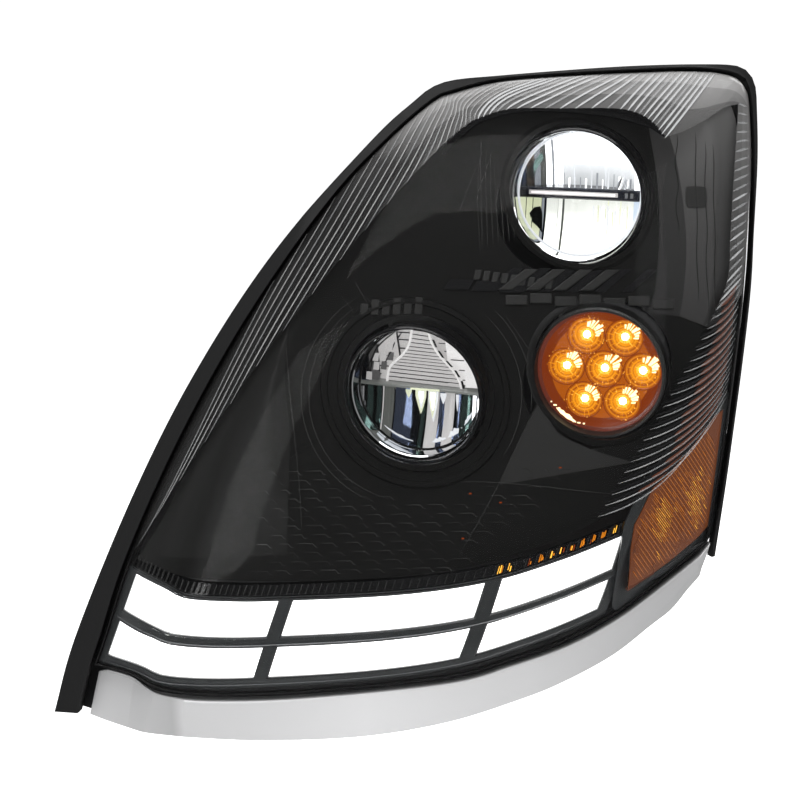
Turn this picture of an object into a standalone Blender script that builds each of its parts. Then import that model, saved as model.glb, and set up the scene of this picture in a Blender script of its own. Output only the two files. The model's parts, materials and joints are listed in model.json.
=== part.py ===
"""Headlight assembly for a heavy truck, left hand side, modelled in metres.

+X points outboard, +Y to the rear of the truck and +Z up.  The origin is the centre of the
rear face of the steel mounting bracket, where the lamp bolts to the truck.

The curved parts are laid out on the "face": a flat frame with u to the viewer's right, v up and
w out of the lamp towards the viewer.  The face is swept back and raked back from the truck's
axes, and bowed, so that the lamp wraps round the corner of the truck.  Face sizes are in
millimetres.  The lamp units themselves look straight ahead, along -Y.
"""

from math import atan2, cos, hypot, pi, radians, sin, sqrt, tau

import bmesh
import bpy
from mathutils import Vector

MM = 0.001

# ---------------------------------------------------------------- driving dimensions
FACE_SWEEP = radians(16)  # the face turns outboard by this much
FACE_RAKE = radians(16)  # and looks up by this much
FACE_ORIGIN = Vector((93, -110, 100))  # centre of the face, in mm from the mounting bracket
FACE_CENTRE = (30, -20)  # the point that every outline is scaled about

OUTBOARD_BOW, INBOARD_BOW, UPRIGHT_BOW = 1300, 2200, 3200  # twice the radii of the bow
CURL_FOOT = (-217, -270)  # the inboard end curls back behind a line through this point
CURL_LEAN, CURL_SLOPE = 0.327, 0.5

LENS_CROWN = 60  # the lens stands this far in front of its own edge
LENS_SQUARENESS = 6  # how flat the crown is, as the power of a superellipse
LENS_WALL = 3
LENS_SKIRT = 14
RIM_DEPTH = 17.6  # the housing's flange lies this far behind the lens edge
BACK_DEPTH = 118  # the housing's flat back wall
HOUSING_WALL = 3
HOUSING_DRIFT = 28  # the back wall is moved outboard and up, along the mould's draw
TRIM_GAP, TRIM_BACK = 1, 0.7 - RIM_DEPTH

# Outlines on the face, anticlockwise as seen from the front: bottom edges run outboard,
# side edges run up the outboard side, over the top and down the inboard side.
LENS_BOTTOM = [
    (-268, -232), (-233, -236), (-215, -243), (-198, -247), (-158, -249), (-82, -245),
    (36, -232), (85, -219), (133, -203), (176, -181), (220, -150), (255, -124),
]
LENS_SIDE = [
    (255, -124), (269, -43), (286, 78), (292, 139), (295, 200), (295, 234), (293, 260), (284, 272),
    (248, 275), (186, 269), (127, 263), (77, 257), (40, 247), (22, 239), (-15, 206), (-60, 157),
    (-129, 61), (-186, -37), (-234, -138), (-258, -206), (-268, -232),
]
GASKET_OUTER = [
    (259, -135), (273, -43), (290, 78), (295, 139), (300, 200), (301, 243), (300, 266), (293, 278),
    (281, 282), (249, 280), (187, 274), (127, 267), (75, 261), (40, 257), (22, 251), (7, 239),
    (-28, 206), (-112, 110), (-178, 12), (-231, -88), (-284, -208), (-305, -275),
]
GASKET_END = (-280, -272)  # the inboard end of the gasket runs on below the lens
TRIM_OUTER = [
    (-275, -275), (-227, -282), (-185, -284), (-114, -285), (-32, -280), (36, -268), (92, -251),
    (127, -238), (171, -216), (204, -192), (222, -179), (236, -163), (248, -150), (253, -139),
]
BOTTOM_POINTS, SIDE_POINTS = 16, 38

BEZEL_OUTLINE = [
    (-226, -136), (-199, -139), (-166, -144), (-95, -145), (-4, -141), (63, -132), (120, -114),
    (158, -97), (190, -66), (226, -27), (256, 14), (268, 78), (275, 139), (277, 200), (274, 238),
    (262, 254), (240, 256), (186, 251), (127, 245), (77, 238), (46, 228), (30, 218), (-4, 186),
    (-48, 140), (-84, 95), (-116, 45), (-146, -5), (-172, -50), (-196, -97), (-220, -132),
]
BEZEL_CENTRE = (50, 40)
BEZEL_POINTS = 38
BEZEL_GAP = 12  # behind the lens
BEZEL_FLOOR, BEZEL_FALL = 20.5, (0.144, 0.102)  # its flat floor falls away outboard and upwards

REFLEX_OUTLINE = [
    (264, -12), (252, -109), (216, -137), (180, -160), (180, -122), (185, -103), (207, -73), (238, -37),
]
REFLEX_CENTRE = (222, -98)

# The daytime running light: its lower edge, and the vectors from there to its upper edge.
DRL_LOWER_EDGE = [
    (-263, -216), (-250, -218), (-219, -224), (-200, -229.5), (-160, -230.5), (-120, -228.5),
    (-21, -221), (50, -209.5), (108, -192), (156, -174), (171, -167),
]
DRL_RISE_INBOARD, DRL_RISE_OUTBOARD = (27, 70), (16, 62)
DRL_STATIONS = [
    -259, -250, -236, -219, -209, -200, -180, -152, -123, -111, -75, -40, 0, 43, 57, 85, 120, 156, 164,
]
DRL_LEVELS = [-0.06, 0, 0.2, 0.42, 0.56, 0.78, 1, 1.08]
DRL_WINDOWS = [(-250, -123), (-111, 43), (57, 156)]
DRL_ROWS = [(0, 0.42), (0.56, 1)]
DRL_GAP = 13.5  # behind the lens
DIFFUSER_BACK, DRL_BOARD_BACK = 7.2, 16  # behind the frame

# Centres of the three lamps on the face (u, v, w).
LOW_BEAM = (8.5, 2, 8)
HIGH_BEAM = (140, 162.5, -28)
TURN_SIGNAL = (156, 18.5, -9)

# Sizes shared by the two beam units.  Depths run back along +Y from the front of the unit.
GLASS_RADIUS, GLASS_THICK = 49.5, 3
BEAM_RING_RADIUS = 52.5
REFLECTOR_RADIUS, REFLECTOR_FRONT, REFLECTOR_DEPTH, REFLECTOR_HOLE = 48, 3.5, 32, 14
REFLECTOR_WALL = 1.5
BAR_THICK = 7
BOARD_RADIUS, BOARD_DEPTH, BOARD_THICK = 29.8, 37, 1.6
SINK_DEPTH, SINK_BASE, SINK_WIDTH, SINK_HEIGHT, SINK_FINS, SINK_END = 39.2, 5, 68, 62, 8, 72
BEAM_RING_END = 23.6
CARRIER_DEPTH, CARRIER_THICK, CARRIER_RADIUS, CARRIER_HOLE, CARRIER_SLEEVE = 28.5, 4, 52.5, 30.3, 33
PIVOT_DEPTH, PIVOT_SPREAD = 31, 60  # the tilt axis runs through both pivot balls
BALL_RADIUS, SOCKET_RADIUS, SOCKET_BODY, SOCKET_LENGTH = 5, 5.5, 9, 14
NECK_RADIUS, NECK_BORE = 2.6, 4.6
STUD_FLANGE_DEPTH, POST_DEPTH, POST_RADIUS = 44, 48.5, 7.5
STUD_SHANK, STUD_HOLE, STUD_END = 3, 3.4, 64
AIM_DROP = 62  # the aiming screw is this far below the tilt axis
AIM_RADIUS, AIM_BORE, NUT_BORE = 3, 3.7, 4.3
AIM_FRONT, AIM_GUIDE_FRONT, AIM_GUIDE_RADIUS = 20, 72, 8.5
AIM_FLANGE_RADIUS, AIM_FLANGE_THICK, AIM_HEAD_RADIUS, AIM_HEAD_LENGTH = 9, 2, 5.5, 9
COLLAR_INNER, COLLAR_OUTER, COLLAR_FRONT, COLLAR_BACK = 50.5, 57, -16, -5
APERTURE = 58
TUBE_INNER, TUBE_OUTER, TUBE_PROUD = 44, 47, 12
WALL_SLOPE = 0.41  # rise of the back wall across a tube, per unit of radius
CAP_RADIUS, CAP_SKIRT, CAP_TOP, CAP_GRIP = 51.5, 10, 4, 7
SEAL_THICK = 1.6

TURN_APERTURE, TURN_RING_INNER, TURN_RING_OUTER = 55.5, 52, 54.7
TURN_LENS_RADIUS, TURN_LENS_CROWN, TURN_CUP_DEPTH = 51.5, 7, 42
TURN_LED_PITCH, TURN_CONE_FRONT, TURN_CONE_BACK = 31, 14.6, 5.4
TURN_REFLECTOR_FRONT, TURN_REFLECTOR_BACK = 5, 18
LED_RADIUS, LED_HEIGHT = 3.1, 3

BRACKET_WIDTH, BRACKET_HEIGHT, BRACKET_THICK = 124, 78, 5
BRACKET_BOLT_X, BRACKET_BOLT_Z = 26, 27  # the bolts into the housing's posts
BRACKET_HOLE_X, BRACKET_HOLE_Z, BRACKET_HOLE = 52, 27, 4.5  # the holes for the truck's bolts
BOLT_SHANK, BOLT_HEAD, BOLT_HEAD_THICK, BOLT_HOLE = 3, 6, 2.4, 3.4
BOLT_SEAT, BOLT_SEAT_DEPTH = 6.8, 3.2  # the heads are sunk in the plate, so that its face lies flat

DRIVER_CENTRE, DRIVER_FACE = (128, -52), 6  # X and Z of the LED driver, and the Y of its seat
DRIVER_SIZE, DRIVER_FINS = (88, 20, 48), 9
DRIVER_SCREW = (38, 18)

SOCKET_CENTRE, SOCKET_FACE = (26, -66), -8
SOCKET_SIZE, SOCKET_WALL, SOCKET_FLOOR = (36, 26, 24), 2.6, 3
PIN_ROWS, PIN_COLUMNS, PIN_PITCH, PIN_LENGTH = 2, 3, 9, 9

VENTS = [(-12, 92), (205, 60)]  # X and Z of the breathers
VENT_RADIUS, VENT_BORE, VENT_CAP = 5, 2.5, 9

ROUND, SMALL_ROUND = 28, 10  # sides of large and small round parts


# ---------------------------------------------------------------- the face
FACE_RIGHT = Vector((cos(FACE_SWEEP), sin(FACE_SWEEP), 0))
FACE_OUT = Vector((sin(FACE_SWEEP) * cos(FACE_RAKE), -cos(FACE_SWEEP) * cos(FACE_RAKE), sin(FACE_RAKE)))
FACE_UP = FACE_OUT.cross(FACE_RIGHT)


def flat_point(u, v, w):
    """A point of the face frame, in truck axes and metres."""
    return (FACE_ORIGIN + FACE_RIGHT * u + FACE_UP * v + FACE_OUT * w) * MM


def bow(u, v):
    """How far the bowed face lies behind the flat one."""
    side = u * u / (OUTBOARD_BOW if u > 0 else INBOARD_BOW)
    curl_line = CURL_FOOT[0] + CURL_LEAN * (v - CURL_FOOT[1])
    return side + v * v / UPRIGHT_BOW + CURL_SLOPE * max(0, curl_line - u)


def bowed_point(u, v, w):
    return flat_point(u, v, w - bow(u, v))


def smooth_curve(points, count):
    """count points, evenly spaced, on a Catmull-Rom curve through the given points."""
    first = [2 * a - b for a, b in zip(points[0], points[1])]
    last = [2 * a - b for a, b in zip(points[-1], points[-2])]
    p = [first, *points, last]
    fine = []
    steps = 12
    for i in range(1, len(p) - 2):
        for k in range(steps):
            t = k / steps
            fine.append([
                0.5 * (2 * b + (c - a) * t + (2 * a - 5 * b + 4 * c - d) * t * t
                       + (3 * b - a - 3 * c + d) * t**3)
                for a, b, c, d in zip(p[i - 1], p[i], p[i + 1], p[i + 2])
            ])
    fine.append(list(points[-1]))
    lengths = [0]
    for a, b in zip(fine, fine[1:]):
        lengths.append(lengths[-1] + hypot(b[0] - a[0], b[1] - a[1]))
    even = []
    at = 0
    for k in range(count):
        goal = lengths[-1] * k / (count - 1)
        while at < len(fine) - 2 and lengths[at + 1] < goal:
            at += 1
        t = (goal - lengths[at]) / max(lengths[at + 1] - lengths[at], 1e-9)
        even.append(tuple(a + (b - a) * t for a, b in zip(fine[at], fine[at + 1])))
    return even


def closed_outline(bottom, side):
    """One closed ring from a bottom edge and a side edge that share their ends."""
    return smooth_curve(bottom, BOTTOM_POINTS)[:-1] + smooth_curve(side, SIDE_POINTS)[:-1]


def scaled(outline, scale, centre=FACE_CENTRE):
    return [(centre[0] + (u - centre[0]) * scale, centre[1] + (v - centre[1]) * scale) for u, v in outline]


def offset(path, distance):
    """The path moved sideways, to the left of its direction of travel."""
    moved = []
    for i, (u, v) in enumerate(path):
        a, b = path[max(i - 1, 0)], path[min(i + 1, len(path) - 1)]
        length = hypot(b[0] - a[0], b[1] - a[1])
        moved.append((u - distance * (b[1] - a[1]) / length, v + distance * (b[0] - a[0]) / length))
    return moved


LENS_RING = closed_outline(LENS_BOTTOM, LENS_SIDE)
OUTER_RING = closed_outline(TRIM_OUTER, [TRIM_OUTER[-1], *GASKET_OUTER[1:], TRIM_OUTER[0]])


def reach(u, v):
    """Where (u, v) lies between the face's centre, at 0, and the edge of the lens, at 1."""
    du, dv = u - FACE_CENTRE[0], v - FACE_CENTRE[1]
    if hypot(du, dv) < 1e-6:
        return 0
    for (au, av), (bu, bv) in zip(LENS_RING, LENS_RING[1:] + LENS_RING[:1]):
        au, av, bu, bv = au - FACE_CENTRE[0], av - FACE_CENTRE[1], bu - FACE_CENTRE[0], bv - FACE_CENTRE[1]
        before, after = au * dv - av * du, bu * dv - bv * du
        if before >= 0 > after and au * du + av * dv > 0:
            t = before / (before - after)
            return hypot(du, dv) / hypot(au + (bu - au) * t, av + (bv - av) * t)
    return 1


def lens_height(u, v):
    """w of the lens's outer surface, before the bow."""
    return LENS_CROWN * (1 - min(reach(u, v), 1) ** LENS_SQUARENESS)


# ---------------------------------------------------------------- scene helpers
for leftover in list(bpy.data.objects):
    bpy.data.objects.remove(leftover)

ASSEMBLY = bpy.data.collections.new("headlight_assembly")
CUTTERS = bpy.data.collections.new("cutters")
for collection in (ASSEMBLY, CUTTERS):
    bpy.context.scene.collection.children.link(collection)


def material(name, colour, roughness, metallic=0.0, alpha=1.0):
    made = bpy.data.materials.new(name)
    made.use_nodes = True
    shader = made.node_tree.nodes["Principled BSDF"]
    shader.inputs["Base Color"].default_value = (*colour, 1)
    shader.inputs["Roughness"].default_value = roughness
    shader.inputs["Metallic"].default_value = metallic
    shader.inputs["Alpha"].default_value = alpha
    return made


BLACK_PLASTIC = material("black_plastic", (0.012, 0.012, 0.013), 0.45)
GLOSS_BLACK = material("gloss_black_plastic", (0.008, 0.008, 0.009), 0.15)
GREY_PLASTIC = material("dark_grey_plastic", (0.05, 0.053, 0.056), 0.4)
CLEAR_PLASTIC = material("clear_polycarbonate", (0.95, 0.96, 0.97), 0.03, alpha=0.15)
CLEAR_GLASS = material("clear_glass", (0.97, 0.98, 0.99), 0.02, alpha=0.2)
RUBBER = material("black_rubber", (0.01, 0.01, 0.01), 0.75)
SILVER_TRIM = material("satin_silver", (0.62, 0.63, 0.64), 0.35, 0.6)
CHROME = material("chrome", (0.85, 0.86, 0.88), 0.06, 1.0)
WHITE_DIFFUSER = material("white_diffuser", (0.95, 0.95, 0.96), 0.3)
AMBER = material("amber_plastic", (0.8, 0.25, 0.02), 0.2)
BOARD = material("circuit_board", (0.9, 0.9, 0.88), 0.5)
ALUMINIUM = material("cast_aluminium", (0.55, 0.56, 0.57), 0.4, 1.0)
STEEL = material("zinc_plated_steel", (0.6, 0.6, 0.58), 0.35, 1.0)
BLACK_STEEL = material("black_coated_steel", (0.02, 0.02, 0.02), 0.4, 0.5)
NYLON = material("natural_nylon", (0.8, 0.78, 0.7), 0.5)


def add_object(name, mesh, finish=None, smooth_angle=35):
    """finish is a material for a part, and None for a cutter or a shape that another one takes in."""
    made = bpy.data.objects.new(name, mesh)
    mesh.shade_smooth()
    mesh.set_sharp_from_angle(angle=radians(smooth_angle))
    if finish is None:
        CUTTERS.objects.link(made)
        made.hide_render = True
        made.display_type = "WIRE"
    else:
        ASSEMBLY.objects.link(made)
        mesh.materials.append(finish)
    return made


def from_bmesh(name, bm, finish=None):
    mesh = bpy.data.meshes.new(name)
    bm.to_mesh(mesh)
    bm.free()
    return add_object(name, mesh, finish)


def loft(name, sections, finish=None, cap_start=True, cap_end=True, centre_end=None):
    """A skin over closed sections with the same number of points.  centre_end closes it with a fan."""
    bm = bmesh.new()
    loops = [[bm.verts.new(p) for p in section] for section in sections]
    for a, b in zip(loops, loops[1:]):
        for i in range(len(a)):
            j = (i + 1) % len(a)
            bm.faces.new((a[i], a[j], b[j], b[i]))
    if cap_start:
        bm.faces.new(reversed(loops[0]))
    if centre_end is not None:
        tip = bm.verts.new(centre_end)
        for i, vert in enumerate(loops[-1]):
            bm.faces.new((vert, loops[-1][(i + 1) % len(loops[-1])], tip))
    elif cap_end:
        bm.faces.new(loops[-1])
    if cap_start:
        bmesh.ops.recalc_face_normals(bm, faces=bm.faces)
    return from_bmesh(name, bm, finish)


def sheet(name, point, columns, rows, thickness, finish, is_window=None):
    """A curved sheet over a grid.  Its front follows point(column, row); windows are left out."""
    bm = bmesh.new()
    grid = [[bm.verts.new(point(c, r)) for r in rows] for c in columns]
    for i in range(len(columns) - 1):
        for j in range(len(rows) - 1):
            middle = ((columns[i] + columns[i + 1]) / 2, (rows[j] + rows[j + 1]) / 2)
            if is_window is None or not is_window(*middle):
                bm.faces.new((grid[i][j], grid[i + 1][j], grid[i + 1][j + 1], grid[i][j + 1]))
    loose = [v for v in bm.verts if not v.link_faces]
    bmesh.ops.delete(bm, geom=loose, context="VERTS")
    return thicken(from_bmesh(name, bm, finish), thickness)


def thicken(obj, thickness):
    wall = obj.modifiers.new("wall", "SOLIDIFY")
    wall.thickness = thickness * MM
    wall.offset = -1
    wall.use_even_offset = True
    return obj


def turned(name, profile, place, finish=None, sides=ROUND):
    """A turned part.  The profile is (radius, depth) in mm, and depth runs back along +Y from place."""
    closed = profile[0][0] > 0 or profile[-1][0] > 0
    ends = list(zip(profile, profile[1:] + profile[:1]))
    turning = sum(a[0] * b[1] - b[0] * a[1] for a, b in ends)
    if turning > 0:
        profile = profile[::-1]
    mesh = bpy.data.meshes.new(name)
    edges = [(i, i + 1) for i in range(len(profile) - 1)]
    if closed:
        edges.append((len(profile) - 1, 0))
    mesh.from_pydata([(r * MM, 0, d * MM) for r, d in profile], edges, [])
    made = add_object(name, mesh, finish)
    screw = made.modifiers.new("turn", "SCREW")
    screw.steps = screw.render_steps = sides
    screw.merge_threshold = 0.00001
    screw.use_merge_vertices = True
    made.rotation_euler = (-pi / 2, 0, 0)
    made.location = place
    return made


def rod(name, radius, start, end, place, finish=None, sides=SMALL_ROUND, offset_x=0, offset_z=0):
    """A cylinder along Y, between two depths behind place."""
    bm = bmesh.new()
    bmesh.ops.create_cone(bm, cap_ends=True, segments=sides, radius1=radius * MM, radius2=radius * MM,
                          depth=(end - start) * MM)
    made = from_bmesh(name, bm, finish)
    made.rotation_euler = (-pi / 2, 0, 0)
    made.location = place + Vector((offset_x, (start + end) / 2, offset_z)) * MM
    return made


def block(name, low, high, place, finish=None):
    """A box between two corners given in mm from place."""
    bm = bmesh.new()
    bmesh.ops.create_cube(bm, size=1)
    size = Vector(high) - Vector(low)
    bmesh.ops.scale(bm, vec=size * MM, verts=bm.verts)
    made = from_bmesh(name, bm, finish)
    made.location = place + (Vector(low) + Vector(high)) / 2 * MM
    return made


def prism(name, outline, low, high, place, finish=None):
    """A flat (x, y) outline in mm, extruded up from z = low to z = high."""
    bm = bmesh.new()
    face = bm.faces.new([bm.verts.new(Vector((x, y, low)) * MM) for x, y in outline])
    raised = bmesh.ops.extrude_face_region(bm, geom=[face])["geom"]
    top = [part for part in raised if isinstance(part, bmesh.types.BMVert)]
    bmesh.ops.translate(bm, vec=(0, 0, (high - low) * MM), verts=top)
    bmesh.ops.recalc_face_normals(bm, faces=bm.faces)
    made = from_bmesh(name, bm, finish)
    made.location = place
    return made


def boolean(obj, tools, operation):
    for tool in tools:
        change = obj.modifiers.new(tool.name, "BOOLEAN")
        change.operation = operation
        change.object = tool
    return obj


def cut(obj, *tools):
    return boolean(obj, tools, "DIFFERENCE")


def join(obj, *tools):
    return boolean(obj, tools, "UNION")


def back_wall_depth(x, z):
    """Y, in mm, of the housing's outer back wall at this X and Z."""
    across = FACE_OUT.x * (x - FACE_ORIGIN.x) + FACE_OUT.z * (z - FACE_ORIGIN.z)
    return FACE_ORIGIN.y + (-BACK_DEPTH - across) / FACE_OUT.y


# ---------------------------------------------------------------- lens, gasket and lower trim
def build_lens():
    shares = [1, 0.975, 0.93, 0.85, 0.7, 0.4]
    rings = [[bowed_point(u, v, -LENS_SKIRT) for u, v in LENS_RING]]
    for share in shares:
        height = LENS_CROWN * (1 - share**LENS_SQUARENESS)
        rings.append([bowed_point(u, v, height) for u, v in scaled(LENS_RING, share)])
    tip = bowed_point(*FACE_CENTRE, LENS_CROWN)
    lens = loft("lens", rings, CLEAR_PLASTIC, cap_start=False, centre_end=tip)
    return thicken(lens, LENS_WALL)


def band(name, inner, outer, finish, rounding, front_inner, front_outer, back):
    """A strip between two paths, with the front edges of its section rounded."""
    sections = []
    for (iu, iv), (ou, ov) in zip(inner, outer):
        width = hypot(ou - iu, ov - iv)
        def across(distance, depth):
            t = distance / width
            return bowed_point(iu + (ou - iu) * t, iv + (ov - iv) * t, depth)
        soft = min(rounding, width / 3)
        sections.append([
            across(0, back), across(0, front_inner - soft), across(soft, front_inner),
            across(width - soft, front_outer), across(width, front_outer - soft), across(width, back),
        ])
    return loft(name, sections, finish)


def build_edge_gasket():
    inner = offset(smooth_curve(LENS_SIDE, SIDE_POINTS), -TRIM_GAP)[:-1]
    inner = [(256, -132), *inner, (-271, -240), GASKET_END]
    outer = smooth_curve(GASKET_OUTER, len(inner))
    return band("edge_gasket", inner, outer, RUBBER, 1.5, 2, -1, TRIM_BACK)


def build_lower_trim():
    count = 32
    inner = offset(smooth_curve(LENS_BOTTOM, count), -1.5)[1:-1]
    inner[0], inner[-1] = (-263, -237), (250, -131)
    outer = smooth_curve(TRIM_OUTER, count)[1:-1]
    outer[0], outer[-1] = (-272, -275), (248, -143)
    return band("lower_trim", inner, outer, SILVER_TRIM, 2, 1, -7, TRIM_BACK)


def build_sealant():
    """A bead in the housing's flange, under the lens skirt."""
    low, high = 0.4 - RIM_DEPTH, -LENS_SKIRT - 2.1
    corners = ((0.998, high), (0.998, low), (0.986, low), (0.986, high))
    rings = [rim_ring(LENS_RING, scale, w) for scale, w in corners]
    sections = [list(section) for section in zip(*rings)]
    bead = loft("lens_sealant", sections + sections[:1], RUBBER, cap_start=False, cap_end=False)
    weld = bead.modifiers.new("seam", "WELD")
    weld.merge_threshold = 0.00001
    return bead


# ---------------------------------------------------------------- housing
def rim_ring(outline, scale, w):
    """A scaled copy of an outline that keeps the bow of the outline itself."""
    return [flat_point(*at, w - bow(*edge)) for at, edge in zip(scaled(outline, scale), outline)]


def housing_ring(outline, scale, share, inset=0.0):
    """A ring of the housing's wall: share runs from 0 at the flange to 1 at the back wall."""
    ring = []
    for (u, v), edge in zip(scaled(outline, scale), outline):
        front = -RIM_DEPTH - bow(*edge)
        depth = front * (1 - share) - BACK_DEPTH * share
        ring.append(flat_point(u + HOUSING_DRIFT * share, v + HOUSING_DRIFT * share, depth + inset))
    return ring


def lamp_place(lamp):
    return flat_point(*lamp)


def build_housing():
    outside = [(0.985, 0.06), (0.93, 0.6), (0.88, 0.93), (0.8, 1)]
    inside = [(scale - 0.012, share) for scale, share in reversed(outside)]
    rings = [housing_ring(LENS_RING, scale, share, HOUSING_WALL) for scale, share in inside[:2]]
    rings += [housing_ring(LENS_RING, scale, share) for scale, share in inside[2:]]
    rings.append(housing_ring(LENS_RING, 0.973, 0))
    rings.append(housing_ring(OUTER_RING, 0.985, 0))
    rings.append(housing_ring(OUTER_RING, 0.985, 0.06))
    rings += [housing_ring(LENS_RING, scale, share) for scale, share in outside]
    housing = loft("housing", rings, BLACK_PLASTIC)
    low, high = lamp_place(LOW_BEAM), lamp_place(HIGH_BEAM)
    bores = []
    for name, place in (("low", low), ("high", high)):
        added, removed = beam_fittings(name, place)
        join(housing, *added)
        bores += removed
    added, removed = rear_fittings()
    join(housing, *added)
    return cut(housing, *bores, *removed)


def wall_depth_behind(place, offset_x=0.0, offset_z=0.0):
    """Depth of the back wall behind a lamp's front, in mm."""
    return back_wall_depth(place.x / MM + offset_x, place.z / MM + offset_z) - place.y / MM


def tube_end(place):
    return wall_depth_behind(place) + TUBE_OUTER * WALL_SLOPE + TUBE_PROUD


def beam_fittings(name, place):
    """The service tube, pivot posts and aiming screw guide behind one beam unit."""
    wall = wall_depth_behind(place)
    end = tube_end(place)
    tube_start = wall - TUBE_OUTER * WALL_SLOPE - HOUSING_WALL
    added = [rod(name + "_tube", TUBE_OUTER, tube_start, end, place, sides=ROUND)]
    removed = [rod(name + "_tube_bore", TUBE_INNER, tube_start - 5, end + 5, place, sides=ROUND)]
    for side in (-1, 1):
        x = side * PIVOT_SPREAD
        post_end = wall_depth_behind(place, x) - 1
        added.append(rod(f"{name}_post_{side}", POST_RADIUS, POST_DEPTH, post_end, place, offset_x=x))
        hole = rod(f"{name}_stud_hole_{side}", STUD_HOLE, POST_DEPTH - 2, STUD_END + 2, place, offset_x=x)
        removed.append(hole)
    guide_end = aim_guide_end(place)
    guide = rod(name + "_guide", AIM_GUIDE_RADIUS, AIM_GUIDE_FRONT, guide_end, place, offset_z=-AIM_DROP)
    added.append(guide)
    bore = rod(name + "_guide_bore", AIM_BORE, AIM_GUIDE_FRONT - 3, guide_end + 3, place, offset_z=-AIM_DROP)
    removed.append(bore)
    return added, removed


def aim_guide_end(place):
    return wall_depth_behind(place, 0, -AIM_DROP) + AIM_GUIDE_RADIUS * WALL_SLOPE + 5


def post_at(name, x, z, radius, end):
    """A post from the back wall to the plane Y = end, and the depth where it starts."""
    start = back_wall_depth(x, z) - 2
    return rod(name, radius, start, end, Vector((x * MM, 0, z * MM)))


def rear_fittings():
    """Posts for the bracket and the driver, the seat of the socket and the breather nozzles."""
    added, removed = [], []
    for index, (x, z) in enumerate(bracket_bolts()):
        added.append(post_at(f"bracket_post_{index}", x, z, 9, -BRACKET_THICK - 0.4))
        removed.append(rod(f"bracket_post_hole_{index}", BOLT_HOLE, -24, 5, Vector((x * MM, 0, z * MM))))
    for index, (x, z) in enumerate(driver_screws()):
        added.append(post_at(f"driver_post_{index}", x, z, 5.5, DRIVER_FACE - 0.4))
        at = Vector((x * MM, 0, z * MM))
        removed.append(rod(f"driver_post_hole_{index}", 2.4, DRIVER_FACE - 14, DRIVER_FACE + 5, at))
    x, z = SOCKET_CENTRE
    half_x, half_z = SOCKET_SIZE[0] / 2 - 3, SOCKET_SIZE[1] / 2 - 3
    seat_start = back_wall_depth(x, z) - 2
    centre = Vector((x * MM, 0, z * MM))
    seat_end = SOCKET_FACE - 0.4
    added.append(block("socket_seat", (-half_x, seat_start, -half_z), (half_x, seat_end, half_z), centre))
    for index, (x, z) in enumerate(VENTS):
        end = back_wall_depth(x, z) + 14
        added.append(post_at(f"nozzle_{index}", x, z, VENT_RADIUS, end))
        at = Vector((x * MM, 0, z * MM))
        removed.append(rod(f"nozzle_bore_{index}", VENT_BORE, end - 30, end + 3, at, sides=10))
    return added, removed


# ---------------------------------------------------------------- inner bezel and trims
def bezel_height(u, v):
    """w of the bezel before the bow: it follows the lens near the edge and is flat inside."""
    floor = BEZEL_FLOOR - BEZEL_FALL[0] * u - BEZEL_FALL[1] * v + bow(u, v)
    return min(floor, lens_height(u, v) - BEZEL_GAP)


def build_inner_bezel():
    outline = smooth_curve(BEZEL_OUTLINE + BEZEL_OUTLINE[:1], BEZEL_POINTS + 1)[:-1]
    rings = []
    for share in (1, 0.92, 0.82, 0.66, 0.35):
        ring = scaled(outline, share, BEZEL_CENTRE)
        rings.append([bowed_point(u, v, bezel_height(u, v)) for u, v in ring])
    tip = bowed_point(*BEZEL_CENTRE, bezel_height(*BEZEL_CENTRE))
    bezel = loft("inner_bezel", rings, BLACK_PLASTIC, cap_start=False, centre_end=tip)
    thicken(bezel, 2)
    holes = []
    apertures = (("low", LOW_BEAM, APERTURE), ("high", HIGH_BEAM, APERTURE), ("turn", TURN_SIGNAL, TURN_APERTURE))
    for name, lamp, radius in apertures:
        holes.append(rod(name + "_aperture", radius, -80, 80, lamp_place(lamp), sides=ROUND))
    return cut(bezel, *holes)


def build_collar(name, lamp):
    """The fixed black ring in front of a beam unit."""
    profile = [
        (COLLAR_INNER, COLLAR_FRONT + 2), (COLLAR_INNER + 2, COLLAR_FRONT), (COLLAR_OUTER - 2, COLLAR_FRONT),
        (COLLAR_OUTER, COLLAR_FRONT + 3), (COLLAR_OUTER, COLLAR_BACK), (COLLAR_INNER, COLLAR_BACK),
    ]
    return turned(name, profile, lamp_place(lamp), GLOSS_BLACK)


# ---------------------------------------------------------------- daytime running light
def height_on(points, u):
    """Height of a smooth curve through points, which run to the right, at u."""
    i = max(k for k in range(len(points) - 1) if points[k][0] <= u or k == 0)
    (u0, v0), (u1, v1) = points[i], points[i + 1]
    before, after = points[max(i - 1, 0)], points[min(i + 2, len(points) - 1)]
    slope0 = (v1 - before[1]) / (u1 - before[0])
    slope1 = (after[1] - v0) / (after[0] - u0)
    span = u1 - u0
    t = (u - u0) / span
    return (v0 * (1 + 2 * t) * (1 - t) ** 2 + slope0 * span * t * (1 - t) ** 2
            + v1 * t * t * (3 - 2 * t) + slope1 * span * t * t * (t - 1))


def drl_point(u, level, gap):
    """A point of the running light, at a share level of its height and gap mm behind the lens."""
    share = (u - DRL_STATIONS[0]) / (DRL_STATIONS[-1] - DRL_STATIONS[0])
    rise = [a + (b - a) * share for a, b in zip(DRL_RISE_INBOARD, DRL_RISE_OUTBOARD)]
    u_at, v_at = u + rise[0] * level, height_on(DRL_LOWER_EDGE, u) + rise[1] * level
    return bowed_point(u_at, v_at, lens_height(u_at, v_at) - gap)


def in_drl_window(u, level):
    across = any(low < u < high for low, high in DRL_WINDOWS)
    return across and any(low < level < high for low, high in DRL_ROWS)


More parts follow.
